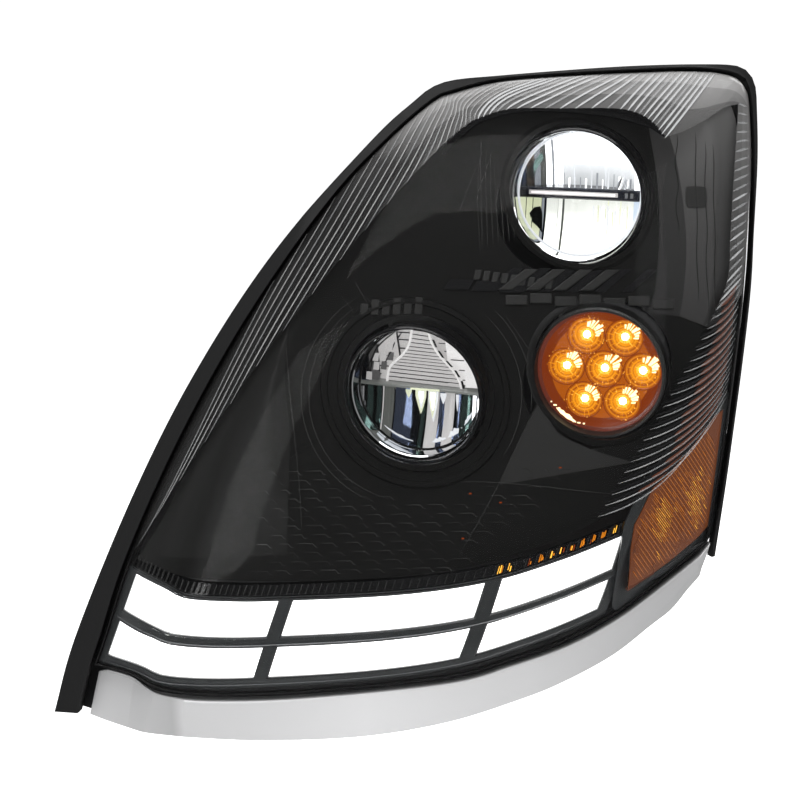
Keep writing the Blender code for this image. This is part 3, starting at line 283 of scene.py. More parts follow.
def principled(name, colour, roughness, metallic=0.0, shine=0.5, alpha=1.0, spread=None, bump=None):
    """A Principled material.  spread is (scale, low, high) for its roughness, and bump (scale, strength)."""
    made = bpy.data.materials.new(name)
    made.use_nodes = True
    nodes, links = made.node_tree.nodes, made.node_tree.links
    shader = nodes["Principled BSDF"]
    shader.inputs["Base Color"].default_value = (*colour, 1)
    shader.inputs["Roughness"].default_value = roughness
    shader.inputs["Metallic"].default_value = metallic
    shader.inputs["Specular IOR Level"].default_value = shine
    shader.inputs["Alpha"].default_value = alpha
    if spread:
        scale, low, high = spread
        mapped = nodes.new("ShaderNodeMapRange")
        mapped.inputs["To Min"].default_value, mapped.inputs["To Max"].default_value = low, high
        links.new(noise(made, scale), mapped.inputs["Value"])
        links.new(mapped.outputs["Result"], shader.inputs["Roughness"])
    if bump:
        scale, strength = bump
        relief = nodes.new("ShaderNodeBump")
        relief.inputs["Strength"].default_value = strength
        relief.inputs["Distance"].default_value = GRAIN_DEPTH
        links.new(noise(made, scale), relief.inputs["Height"])
        links.new(relief.outputs["Normal"], shader.inputs["Normal"])
    return made


def shaded_along(made, axis, stops, socket="Base Color", tint=(1, 0.985, 0.975)):
    """Paints light and shade into the material along an axis: stops are (place in mm, brightness) pairs, in
    order.
    """
    nodes, links = made.node_tree.nodes, made.node_tree.links
    where = nodes.new("ShaderNodeTexCoord")
    split = nodes.new("ShaderNodeSeparateXYZ")
    links.new(where.outputs["Object"], split.inputs["Vector"])
    first, last = stops[0][0], stops[-1][0]
    share = nodes.new("ShaderNodeMapRange")
    share.inputs["From Min"].default_value = first * MM
    share.inputs["From Max"].default_value = last * MM
    links.new(split.outputs[axis], share.inputs["Value"])
    ramp = nodes.new("ShaderNodeValToRGB")
    elements = ramp.color_ramp.elements
    while len(elements) < len(stops):
        elements.new(0.5)
    for element, (place, value) in zip(elements, stops):
        element.position = (place - first) / (last - first)
        element.color = (*(value * part for part in tint), 1)
    links.new(share.outputs["Result"], ramp.inputs["Fac"])
    links.new(ramp.outputs["Color"], nodes["Principled BSDF"].inputs[socket])
    return made


def glowing(name, colour, strength, base=(0.02, 0.02, 0.02), roughness=0.3, **rest):
    made = principled(name, base, roughness, **rest)
    shader = made.node_tree.nodes["Principled BSDF"]
    shader.inputs["Emission Color"].default_value = (*colour, 1)
    shader.inputs["Emission Strength"].default_value = strength
    return made


def painted_border_light(name, stops, share):
    """Painted light on the lens's border, from the brightness of the stops times share."""
    made = principled(name, (0.1, 0.1, 0.1), 0.35, alpha=0.62)
    return shaded_along(made, "Z", [(height, value * share) for height, value in stops])


RUBBER = principled("rubber", (0.006, 0.006, 0.0062), 0.6, shine=0.2, spread=(60, 0.5, 0.7), bump=(1400, 0.5))
HOUSING_BLACK = principled("moulded_black", (0.016, 0.016, 0.017), 0.5, spread=(25, 0.42, 0.6),
                           bump=(1800, 0.35))
BEZEL_BLACK = principled("bezel_black", (0.0045, 0.0045, 0.0043), 0.34, shine=0.09, spread=(18, 0.28, 0.42),
                         bump=(2400, 0.03))
# A satin grey, lighter than the bezel black, on the blocks and the turn signal's rim; on the bezel's panels it
# is painted light.
BEZEL_SATIN_AND_LIT = principled("bezel_satin_and_lit", (0.013, 0.013, 0.0125), 0.42, shine=0.25, bump=(2200, 0.05))
# A little lighter than the bezel black: painted light on the bezel's inboard panel.
BEZEL_FAINT_LIGHT = principled("bezel_faint_light", (0.0075, 0.0075, 0.0072), 0.4, shine=0.12, bump=(2200, 0.04))
# A grey lighter than the bezel black, on its raised lines, dashes and the teeth's thin plates: painted
# highlights along their edges.
BEZEL_EDGE_HIGHLIGHT = principled("bezel_edge_highlight", (0.022, 0.022, 0.021), 0.25)
# Painted light on the bezel's outboard wall and side panels: lighter towards the top.
BEZEL_WALL = shaded_along(principled("bezel_wall", (0.034, 0.034, 0.033), 0.4, shine=0.25), "Z",
                          [(60, 0.006), (110, 0.014), (170, 0.026), (250, 0.045), (320, 0.1)])
BEZEL_SIDE = shaded_along(principled("bezel_side", (0.034, 0.034, 0.033), 0.4, shine=0.2), "Z",
                          [(60, 0.005), (110, 0.008), (170, 0.014), (250, 0.02), (320, 0.03)])
GLOSS_BLACK = principled("gloss_black", (0.004, 0.004, 0.0045), 0.14, shine=0.3, spread=(40, 0.1, 0.18))
FRAME_GREY = principled("drl_frame_grey", (0.022, 0.024, 0.025), 0.3, shine=0.35, bump=(2600, 0.05))
# A pale grey on ribs along the running light's frame: painted highlights on its edges.
FRAME_EDGE_HIGHLIGHT = principled("drl_frame_edge_highlight", (0.15, 0.155, 0.16), 0.25)
SILVER = principled("satin_silver", (0.6, 0.6, 0.61), 0.4, 0.25, spread=(30, 0.32, 0.44), bump=(3000, 0.05))
# Painted light and shade along X on the silver trim: brightest near X 77 mm, darker towards both ends and
# darkest near X -84 mm.
shaded_along(SILVER, "X", tint=(1, 1, 1.01), stops=[
    (-180, 0.47), (-90, 0.38), (-84, 0.36), (-74, 0.5), (-20, 0.54), (77, 0.64), (200, 0.56), (300, 0.43),
])
CHROME = principled("chrome", (0.88, 0.89, 0.91), 0.05, 1.0, spread=(90, 0.03, 0.09))
# Chrome tinted dark blue, green and brown: painted reflections in the beam units' reflectors.
DARK_CHROME = principled("dark_chrome", (0.12, 0.15, 0.23), 0.08, 1.0)
GREEN_CHROME = principled("green_chrome", (0.08, 0.13, 0.12), 0.08, 1.0)
BROWN_CHROME = principled("brown_chrome", (0.42, 0.32, 0.24), 0.12, 0.8)
NAVY_BLACK = principled("navy_black", (0.006, 0.008, 0.018), 0.12)
# Dark seams between the low beam's panels; on its stepped panel the same dark is painted shade on each riser.
DARK_SEAM_AND_SHADE = principled("dark_seam_and_shade", (0.016, 0.016, 0.017), 0.3, shine=0.2)
CLEAR_LENS = principled("clear_lens", (0.02, 0.02, 0.02), 0.03, alpha=0.045)
CLEAR_GLASS = principled("clear_glass", (0.02, 0.02, 0.02), 0.02, alpha=0.06)
# Pale greys on the clear flutes: painted highlights, strong, long and faint.
FLUTE = principled("flute_highlight", (0.75, 0.76, 0.77), 0.18, alpha=0.42)
LONG_FLUTE_HIGHLIGHT = principled("flute_long_highlight", (0.6, 0.6, 0.6), 0.2, alpha=0.34)
FAINT_FLUTE_HIGHLIGHT = principled("flute_faint_highlight", (0.6, 0.61, 0.62), 0.2, alpha=0.22)
# Painted light on the lens's border, lighter towards the top, in three copies each, dimmer from its edge
# inwards.
TOP_STOPS = [(-100, 0.005), (150, 0.007), (240, 0.011), (280, 0.05), (305, 0.26), (322, 0.42), (345, 0.6)]
SIDE_STOPS = [(-60, 0.02), (20, 0.03), (100, 0.06), (180, 0.14), (250, 0.2), (330, 0.4)]
PAINTED_BORDER_LIGHTS = [painted_border_light(f"top_painted_light_{k}", TOP_STOPS, share) for k, share in enumerate((1.1, 0.75, 0.42))]
PAINTED_BORDER_LIGHTS += [painted_border_light(f"side_painted_light_{k}", SIDE_STOPS, share) for k, share in enumerate((1.1, 0.85, 0.6))]

DRL_WHITE = glowing("drl_white", (1.0, 1.0, 1.0), 2.2, (0.9, 0.9, 0.9))
LIT_WHITE = glowing("lit_white", (0.96, 0.98, 1.0), 2.4, (0.8, 0.8, 0.8))
# The glow of these greys, whites, yellows and blues on the beam units' reflector panels, facets, shelf, lip and
# seams is painted light from the lit LEDs, graded by height on the high beam's facets.
SOFT_WHITE = glowing("soft_white", (0.9, 0.94, 1.0), 0.72, (0.5, 0.5, 0.5))
SOFT_YELLOW = glowing("soft_yellow", (0.93, 1.0, 0.68), 0.6, (0.5, 0.5, 0.4))
PALE_BLUE = glowing("pale_blue", (0.72, 0.84, 1.0), 0.6, (0.5, 0.55, 0.6))
PANEL_GREY = glowing("panel_grey", (1, 0.975, 0.97), 0.36, (0.4, 0.39, 0.385), spread=(60, 0.22, 0.36))
PANEL_BRIGHT = glowing("panel_bright", (1, 0.98, 0.97), 0.62, (0.5, 0.5, 0.5))
SHELF_GREY = glowing("shelf_grey", (0.95, 1.0, 0.93), 0.07, (0.2, 0.21, 0.2), 0.2)
SIDE_GREY = glowing("side_grey", (1.0, 0.96, 0.97), 0.05, (0.12, 0.12, 0.12), 0.2)
GREEN_GLOW = glowing("green_glow", (0.93, 1.0, 0.9), 0.07, (0.1, 0.1, 0.1), 0.15)
PALE_GREY = glowing("pale_grey", (0.8, 0.88, 1.0), 0.28, (0.2, 0.2, 0.2))
BAR_LIGHT = glowing("bar_light", (1.0, 0.93, 0.95), 1.0, (0.8, 0.8, 0.8))
HIGH_UPPER = shaded_along(
    glowing("high_upper", (1, 1, 1), 2.4, (0.3, 0.3, 0.3)), "Z",
    [(248, 0.2), (254, 0.24), (262, 0.3), (270, 0.42), (278, 0.9), (300, 1)], "Emission Color", (0.93, 0.97, 1),
)
HIGH_LOWER = shaded_along(
    glowing("high_lower", (1, 1, 1), 2.4, (0.3, 0.3, 0.3)), "Z",
    [(197, 1), (215, 0.8), (232, 0.42), (243, 0.36), (249, 0.5)], "Emission Color", (0.97, 1, 0.93),
)
# The side reflector gives no light of its own: the glow of its amber, stronger on the brighter ribs and weaker
# on the darker facet, is painted light and shade.
AMBER = glowing("amber_lens", (1.0, 0.24, 0.04), 0.09, (0.06, 0.014, 0.002), 0.4)
AMBER_RIB = glowing("amber_rib", (1.0, 0.33, 0.06), 0.2, (0.2, 0.06, 0.008), 0.35)
AMBER_SHADE = glowing("amber_shade", (1.0, 0.2, 0.03), 0.05, (0.05, 0.011, 0.002), 0.35)
AMBER_CORE = glowing("amber_core", (1.0, 0.86, 0.4), 14)
AMBER_FLARE = glowing("amber_flare", (1.0, 0.8, 0.42), 2.6)
AMBER_HOT = glowing("amber_hot", (1.0, 0.5, 0.05), 1.7, (0.1, 0.03, 0.002))
AMBER_GLOW = glowing("amber_glow", (1.0, 0.36, 0.01), 1.15, (0.05, 0.015, 0.001), 0.2, shine=0.15)
AMBER_WARM = glowing("amber_warm", (0.98, 0.3, 0.012), 0.85, (0.04, 0.01, 0.001), 0.2, shine=0.15)
AMBER_MID = glowing("amber_mid", (0.98, 0.22, 0.012), 0.52, (0.03, 0.008, 0.001), 0.2, shine=0.15)
AMBER_DIM = glowing("amber_dim", (0.98, 0.15, 0.02), 0.24, (0.03, 0.006, 0.001), 0.2, shine=0.15)
AMBER_DARK = glowing("amber_dark", (0.98, 0.2, 0.11), 0.15, (0.02, 0.004, 0.001), 0.2)
AMBER_GLASS = principled("amber_glass", (0.02, 0.004, 0.001), 0.05, alpha=0.07, shine=0.3)
CIRCUIT = principled("circuit_board", (0.72, 0.74, 0.72), 0.45, bump=(500, 0.1))
ALUMINIUM = principled("cast_aluminium", (0.56, 0.57, 0.58), 0.42, 0.9, bump=(700, 0.5))
ZINC = principled("zinc_plate", (0.6, 0.6, 0.57), 0.33, 1.0, spread=(300, 0.25, 0.45))
BLACK_STEEL = principled("black_steel", (0.02, 0.02, 0.021), 0.4, 0.3, bump=(900, 0.3))
NYLON = principled("nylon", (0.72, 0.69, 0.6), 0.5, bump=(800, 0.15))


# ---------------------------------------------------------------- mesh building
def piece(name, points, faces, finish, body=ROOT, slot=None, replaces=(), sharp=32, kinds=None):
    """One visual piece.  points are in mm; finish is a material, or a list that kinds indexes."""
    mesh = bpy.data.meshes.new(name)
    mesh.from_pydata([Vector(p) * MM for p in points], [], faces)
    finishes = finish if isinstance(finish, list) else [finish]
    for each in finishes:
        mesh.materials.append(each)
    if kinds is not None:
        mesh.polygons.foreach_set("material_index", kinds)
    bm = bmesh.new()
    bm.from_mesh(mesh)
    bmesh.ops.remove_doubles(bm, verts=bm.verts, dist=1e-6)
    bmesh.ops.recalc_face_normals(bm, faces=bm.faces)
    bm.to_mesh(mesh)
    bm.free()
    mesh.shade_smooth()
    mesh.set_sharp_from_angle(angle=radians(sharp))
    made = bpy.data.objects.new(name, mesh)
    bpy.context.scene.collection.objects.link(made)
    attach(made, body)
    if replaces:
        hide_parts(*replaces)
    return made


def thicken(made, thickness):
    wall = made.modifiers.new("wall", "SOLIDIFY")
    wall.thickness = thickness * MM
    wall.offset = -1


def soften(made, width):
    bevel = made.modifiers.new("edges", "BEVEL")
    bevel.width = width * MM
    bevel.segments = 2
    bevel.limit_method = "ANGLE"


def around(centre, radius, depth, sides=48):
    """A ring of points about an axis that runs back along +Y."""
    angles = [tau * k / sides for k in range(sides)]
    return [centre + Vector((radius * cos(a), depth, radius * sin(a))) for a in angles]


class Shape:
    """Points and faces gathered from many small shapes, with a material number for each face."""

    def __init__(self):
        self.points, self.faces, self.kinds = [], [], []

    def add(self, points, faces, kind=0):
        start = len(self.points)
        self.points += points
        self.faces += [[start + i for i in face] for face in faces]
        self.kinds += [kind] * len(faces)

    def loft(self, sections, kind=0, closed_ends=True, closed_section=True):
        """A skin over sections with the same number of points."""
        across = len(sections[0])
        faces = []
        for i in range(len(sections) - 1):
            for j in range(across if closed_section else across - 1):
                k = (j + 1) % across
                faces.append([i * across + j, i * across + k, (i + 1) * across + k, (i + 1) * across + j])
        if closed_ends:
            faces.append(list(range(across)))
            faces.append([(len(sections) - 1) * across + j for j in range(across)])
        self.add([p for section in sections for p in section], faces, kind)

    def rib(self, surface, path, half_width, height, kind=0, ends=True):
        """A rounded rib that follows a path on a surface.  surface(u, v, h) gives points."""
        shape = [(-1, -0.15), (-0.8, 0.55), (-0.3, 0.95), (0.3, 0.95), (0.8, 0.55), (1, -0.15)]
        sections = []
        for i, (u, v) in enumerate(path):
            a, b = path[max(i - 1, 0)], path[min(i + 1, len(path) - 1)]
            length = max(hypot(b[0] - a[0], b[1] - a[1]), 1e-6)
            su, sv = -(b[1] - a[1]) / length, (b[0] - a[0]) / length
            share = i / (len(path) - 1)
            end = min(1, 0.25 + 6 * min(share, 1 - share)) if ends else 1
            wide, tall = half_width * end, height * end
            sections.append([surface(u + su * x * wide, v + sv * x * wide, y * tall) for x, y in shape])
        self.loft(sections, kind)

    def tube(self, sections, kind=0):
        """A skin over closed sections, with open ends."""
        self.loft(sections, kind, closed_ends=False)

    def sheet(self, sections, kind=0):
        """A skin over open sections."""
        self.loft(sections, kind, closed_ends=False, closed_section=False)

    def block(self, low, high, height, lean=0.0):
        """A block on the bezel between two (u, v) corners.  lean moves its top edge along u."""
        (u0, v0), (u1, v1) = low, high
        ring = [(u0, v0), (u1, v0), (u1 + lean, v1), (u0 + lean, v1)]
        self.loft([[bezel_point(u, v, h) for u, v in ring] for h in (-0.5, height)])

    def piece(self, name, finish, **rest):
        return piece(name, self.points, self.faces, finish, kinds=self.kinds, **rest)


def turned(name, profile, place, finish, sides=96, kinds=None, **rest):
    """A turned piece from (radius, depth) pairs.  Its axis runs back along +Y from place."""
    points, faces, marks = [], [], []
    for r, d in profile:
        points += around(place, r, d, sides)
    for i in range(len(profile) - 1):
        for k in range(sides):
            n = (k + 1) % sides
            faces.append([i * sides + k, i * sides + n, (i + 1) * sides + n, (i + 1) * sides + k])
            marks.append(kinds[i] if kinds else 0)
    return piece(name, points, faces, finish, kinds=marks, **rest)


def closed(profile):
    return profile + profile[:1]


# ---------------------------------------------------------------- where the lamps are
def place_of(node, crown):
    """The centre of a lamp's front, in mm, from a node that stands crown in front of it."""
    low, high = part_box(node)
    return Vector(((low.x + high.x) / 2, low.y, (low.z + high.z) / 2)) / MM + Vector((0, crown, 0))


LOW_BEAM = place_of("low_beam_glass", 2)
HIGH_BEAM = place_of("high_beam_glass", 2)
TURN = place_of("turn_signal_lens", 7)


# ---------------------------------------------------------------- lens and its fluting
def make_lens():
    """The clear shell, and the black band inside its skirt that meets the housing."""
    shares = [1, 0.995, 0.985, 0.97, 0.955, 0.94, 0.92, 0.9, 0.87, 0.84, 0.8, 0.75, 0.69, 0.62, 0.54,
              0.45, 0.35, 0.25, 0.15, 0.06]
    rings = [[bowed_point(u, v, -LENS_SKIRT) for u, v in LENS_RING]]
    for share in shares:
        height = LENS_CROWN * (1 - share**LENS_SQUARENESS)
        rings.append([bowed_point(u, v, height) for u, v in scaled(LENS_RING, share)])
    shape = Shape()
    shape.tube(rings)
    shape.add(rings[-1], [list(range(len(LENS_RING)))])
    thicken(shape.piece("lens_shell", CLEAR_LENS, slot="lens_clear", replaces=["lens"], sharp=60), LENS_WALL)
    band = Shape()
    inner = scaled(LENS_RING, 0.986)
    band.tube([[bowed_point(u, v, w) for u, v in inner] for w in (-LENS_SKIRT, -1)])
    thicken(band.piece("lens_edge_band", RUBBER, slot="rubber", sharp=60), 1)


def inside_lens(u, v, height):
    """A surface on the inner face of the lens: height runs inwards."""
    return behind_lens(u, v, LENS_WALL + 0.2 + height)


def interpolate(table, x):
    """The value at x in a table of (x, value) pairs."""
    for (a, fa), (b, fb) in zip(table, table[1:]):
        if x <= b:
            return fa + (fb - fa) * (x - a) / (b - a)
    return table[-1][1]


def band_lines(band, share):
    """A band's edge, drawn in by share, and its inner border."""
    return scaled([edge for edge, border in band], share), [border for edge, border in band]


def band_point(edge, border, t_edge, t_border, s):
    """A point at share s of the way from the edge, at t_edge, to the border, at t_border."""
    t = t_edge + (t_border - t_edge) * s
    return blend(spline(edge, t), spline(border, t), s)


def bent(start, end, bend, steps):
    """A shallow arc between two points, bend times its length high."""
    path = []
    for k in range(steps + 1):
        s = k / steps
        lift = bend * 4 * s * (1 - s)
        u, v = blend(start, end, s)
        path.append((u - (end[1] - start[1]) * lift, v + (end[0] - start[0]) * lift))
    return path


def make_flutes():
    """The raised lines in the border of the lens, from its edge to the inner border."""
    shape = Shape()
    edge, border = band_lines(TOP_BAND, 0.994)
    t, count = 11.0, 0
    while t > 2.3:
        low = max(0.0, interpolate(TOP_SKEW, t))
        steps = 8 + int(5 * (11 - t))
        long = t < 7.6
        path = [band_point(edge, border, t, low, 1 - k / steps) for k in range(steps + 1)]
        kind = (2 if count % 3 else 1) if long else (1 if count % 4 == 3 else 0)
        shape.rib(inside_lens, path, 0.42 if long else 0.8, 1.0, kind)
        t -= 0.2 + 0.035 * (7.6 - t) if long else 0.148
        count += 1
    edge, border = band_lines(SIDE_BAND, 0.982)
    t, count = 0.0, 0
    while t < 9:
        start, end = spline(border, t), spline(edge, t)
        length = hypot(end[0] - start[0], end[1] - start[1])
        broad = length < 40
        path = bent(start, end, 0 if broad else -0.09, max(4, int(length / 6)))
        if broad:
            shape.rib(inside_lens, path, 0.9, 1.1, kind=0 if count % 2 == 0 and t > 1.2 else 1)
        else:
            shape.rib(inside_lens, path, 0.5, 1.1, kind=2 if count % 3 == 0 else 1)
            # Beside each long flute, a black rib and a dark amber one: painted shade.
            shape.rib(inside_lens, offset(path, 2.6), 0.9, 0.8, kind=4)
            shape.rib(inside_lens, offset(path, 5.4)[int(0.4 * len(path)):], 1.6, 0.4, kind=3)
        here, ahead = spline(border, t), spline(border, t + 0.05)
        t += 0.05 * (8.6 if broad else 10.4) / max(hypot(ahead[0] - here[0], ahead[1] - here[1]), 0.1)
        count += 1
    finishes = [FLUTE, FAINT_FLUTE_HIGHLIGHT, LONG_FLUTE_HIGHLIGHT, AMBER_SHADE, GLOSS_BLACK]
    shape.piece("lens_flutes", finishes, slot="lens_clear", sharp=50)


def make_border():
    """Painted light on the border of the lens: a thin skin behind its fluting, lighter towards the top and
    towards the lens's edge.
    """
    shape = Shape()
    shares = (0, 0.1, 0.25, 0.4, 0.6, 0.8, 0.98)
    for band, kind in ((TOP_BAND, 0), (CORNER_BAND, 0), (SIDE_BAND[:5], 3)):
        edge, border = band_lines(band, 0.997)
        count = 8 * (len(band) - 1)
        for strip in range(len(shares) - 1):
            sections = []
            for k in range(count + 1):
                t = k * (len(band) - 1) / count
                at = [band_point(edge, border, t, t, s) for s in shares[strip:strip + 2]]
                sections.append([inside_lens(u, v, 1.6) for u, v in at])
            shape.sheet(sections, kind + strip // 2)
    shape.piece("lens_border", PAINTED_BORDER_LIGHTS, slot="lens_clear", sharp=60)


# ---------------------------------------------------------------- gasket and silver trim
def banded(name, inner, outer, finish, front_inner, front_outer, rounding, crown=0.0, fold=0.0, **rest):
    """A strip between two paths, with a rounded and slightly crowned front.

    fold is the slope at which the front falls away inboard of its fold."""
    sections = []
    for i, (near, far) in enumerate(zip(inner, outer)):
        past_fold = max(0, FOLD_SECTION - i) * SECTION_STEP
        width = hypot(far[0] - near[0], far[1] - near[1])
        soft = min(rounding, width / 3)
        profile = [(0, TRIM_BACK), (0, front_inner - soft), (soft * 0.3, front_inner - soft * 0.3),
                   (soft, front_inner)]
        for k in range(1, 6):
            x = soft + (width - 2 * soft) * k / 6
            profile.append((x, front_inner + (front_outer - front_inner) * k / 6 + crown * sin(pi * k / 6)))
        profile += [(width - soft, front_outer), (width - soft * 0.3, front_outer - soft * 0.3),
                    (width, front_outer - soft), (width, TRIM_BACK)]
        sections.append([bowed_point(*blend(near, far, x / width), w - fold * past_fold * (w / -TRIM_BACK + 1))
                         for x, w in profile])
    shape = Shape()
    shape.loft(sections)
    shape.piece(name, finish, **rest)


def make_gasket():
    inner = offset(smooth_curve(LENS_SIDE, 150), -1)[:-1]
    inner = [(255, -135), *inner, (-271, -240), (-280, -272)]
    outer = smooth_curve(GASKET_OUTER, len(inner))
    banded("edge_gasket_skin", inner, outer, RUBBER, 2, -1, 1.5, slot="rubber", replaces=["edge_gasket"],
           sharp=40)


def make_lower_trim():
    count = 120
    inner = offset(smooth_curve(LENS_BOTTOM, count), -1.5)[2:-2]
    outer = smooth_curve(TRIM_OUTER, count)[2:-2]
    inner[0], outer[0] = (-263, -237), (-272, -275)
    inner[-1], outer[-1] = (254, -123), (248, -146)
    banded("lower_trim_skin", inner, outer, SILVER, 1, -7, 2, crown=1.2, fold=0.36, slot="silver_trim",
           replaces=["lower_trim"], sharp=13)


# ---------------------------------------------------------------- bezel
def make_bezel():
    outline = smooth_curve(BEZEL_OUTLINE + BEZEL_OUTLINE[:1], 181)[:-1]
    shares = [1, 0.985, 0.97, 0.95, 0.92, 0.88, 0.83, 0.77, 0.7, 0.6, 0.5, 0.4, 0.3, 0.2, 0.1]
    rings = [[bezel_point(u, v) for u, v in scaled(outline, share, BEZEL_CENTRE)] for share in shares]
    shape = Shape()
    shape.tube(rings)
    shape.add(rings[-1], [list(range(len(outline)))])
    bezel = shape.piece("bezel_shell", BEZEL_BLACK, slot="black_plastic", replaces=["inner_bezel"], sharp=40)
    thicken(bezel, 2)
    cutters = [cut_round_hole(bezel, LOW_BEAM, 58), cut_round_hole(bezel, HIGH_BEAM, 58),
               cut_round_hole(bezel, TURN, 55.5)]
    bpy.context.view_layer.update()
    solid = bpy.data.meshes.new_from_object(bezel.evaluated_get(bpy.context.evaluated_depsgraph_get()))
    bezel.modifiers.clear()
    bezel.data = solid
    for cutter in cutters:
        bpy.data.objects.remove(cutter)
    solid.shade_smooth()
    solid.set_sharp_from_angle(angle=radians(40))


def cut_round_hole(made, place, radius):
    """Gives a piece a boolean that cuts a hole along Y, and returns the cutter."""
    bm = bmesh.new()
    bmesh.ops.create_cone(bm, cap_ends=True, segments=96, radius1=radius * MM, radius2=radius * MM,
                          depth=0.16)
    mesh = bpy.data.meshes.new("cutter")
    bm.to_mesh(mesh)
    bm.free()
    mesh.transform(Matrix.Translation(place * MM) @ Matrix.Rotation(pi / 2, 4, "X"))
    cutter = bpy.data.objects.new("cutter", mesh)
    bpy.context.scene.collection.objects.link(cutter)
    change = made.modifiers.new("hole", "BOOLEAN")
    change.operation = "DIFFERENCE"
    change.object = cutter
    return cutter


def circle_path(centre, radius, start, end):
    """An arc on the face, with angles in degrees from u towards v."""
    angles = [radians(start + (end - start) * k / 48) for k in range(49)]
    return [(centre[0] + radius * cos(a), centre[1] + radius * sin(a)) for a in angles]


def make_surround(name, place, radius, steps):
    """Stepped rings on the bezel round a lamp: (radius, lift) pairs, from its collar outwards."""
    rings = [around(place, radius, depth, 96) for depth in (8, -4)]
    for reach_out, lift in steps:
        rings.append([bezel_point(*face_of(point), lift) for point in around(place, reach_out, 0, 96)])
    shape = Shape()
    shape.tube(rings)
    shape.piece(name, BEZEL_BLACK, slot="gloss_black", sharp=25)


def make_bezel_lines():
    """Raised lines and ridges on the bezel, painted lighter as highlights, and a black band of painted shadow
    under the fluted top of the lens.
    """
    lamp = (8.5, 0)
    lines = Shape()
    for radius, start, end in ((84, 118, 255), (90, 120, 250), (84, -35, 50), (92, -8, 48)):
        lines.rib(bezel_point, circle_path(lamp, radius, start, end), 0.5, 0.8)
    single = [
        [(-33, 79), (-16, 62)], [(-39, 88), (-29, 70)], [(39, -68), (84, -70), (163, -79)],
        [(-94, 50), (-91, 9), (-86, -35), (-82, -75), (-80, -110)],
        [(106, -4), (84, -49), (67, -83), (42, -126)],
        [(78, 66), (92, 46), (100, 32), (102, 10)], [(54, 150), (70, 196)], [(40, 140), (62, 196)],
        [(62, 210), (58, 160), (60, 112)], [(-52, 80), (-40, 62), (-44, 40), (-60, 10)],
    ]
    for path in single:
        lines.rib(bezel_point, smooth_curve(path, 12), 0.45, 0.8)
    for k in range(8):
        u = 60 + 3.9 * k
        top, foot = 206 - 5 * k, 116 + 1.5 * k
        path = [(u + 1.2 * sin(k + 0.5), top), (u + 0.8, (top + foot) / 2 + 10), (u + 1.5 + 0.5 * k, foot)]
        lines.rib(bezel_point, smooth_curve(path, 14), 0.55, 1.2)
    wavy = ((222, 218, 128, 1.3), (238, 222, 70, 0.6), (246, 214, 64, 0.9), (253, 206, 60, 0.5))
    for u, top, foot, wave in wavy:
        path = [(u + wave * sin(1.7 * k), top + (foot - top) * k / 9) for k in range(10)]
        lines.rib(bezel_point, smooth_curve(path, 28), 0.4, 1.6)
    lines.piece("bezel_lines", BEZEL_EDGE_HIGHLIGHT, slot="black_plastic")
    # A broad black band under the fluted top of the lens: painted shadow between the bezel and the lens.
    shadow_band = Shape()
    path = [(30, 193), (44, 212), (62, 225), (100, 234), (160, 232), (196, 224), (212, 212)]
    shadow_band.rib(bezel_point, smooth_curve(path, 40), 5, 3)
    shadow_band.piece("bezel_shadow_band", GLOSS_BLACK, slot="black_plastic")


def make_bezel_blocks():
    """Slats and castellated blocks between the lamps."""
    blocks = Shape()
    for k in range(6):
        u = -36 + 8.6 * k
        rise = 3 * (k % 2)
        blocks.block((u, 63), (u + 6.2, 72 + rise + 0.5 * k), 2.5, lean=0.8)
    for k in range(4):
        u = 74 + 22 * k
        blocks.block((u, 84), (u + 11, 101), 3, lean=22)
    for k in range(7):
        u = 80 + 20 * k
        blocks.block((u, 72 - 0.4 * k + 2 * (k % 2)), (u + 17.5, 80 - 0.4 * k + 2 * (k % 2)), 2)
    for k in range(9):
        u = 54 + 7.2 * k
        blocks.block((u, 92 - 0.9 * k), (u + 5.2, 100 - 0.9 * k), 2, lean=2)
    soften(blocks.piece("bezel_blocks", BEZEL_SATIN_AND_LIT, slot="black_plastic"), 0.6)
    gaps = Shape()
    for k in range(6):
        u = 64 + 22 * k
        gaps.block((u, 83), (u + 9, 102), 0.8, lean=22)
    for k in range(3):
        gaps.block((30 + 22 * k, 84 - k), (50 + 22 * k, 92 - k), 1.6, lean=5)
    gaps.piece("bezel_slots", GLOSS_BLACK, slot="black_plastic")


def skin(shape, left, right, lift, kind):
    """A thin skin on the bezel between two paths."""
    sections = []
    for start, end in zip(smooth_curve(left, 25), smooth_curve(right, 25)):
        sections.append([bezel_point(*blend(start, end, k / 12), lift) for k in range(13)])
    shape.sheet(sections, kind)


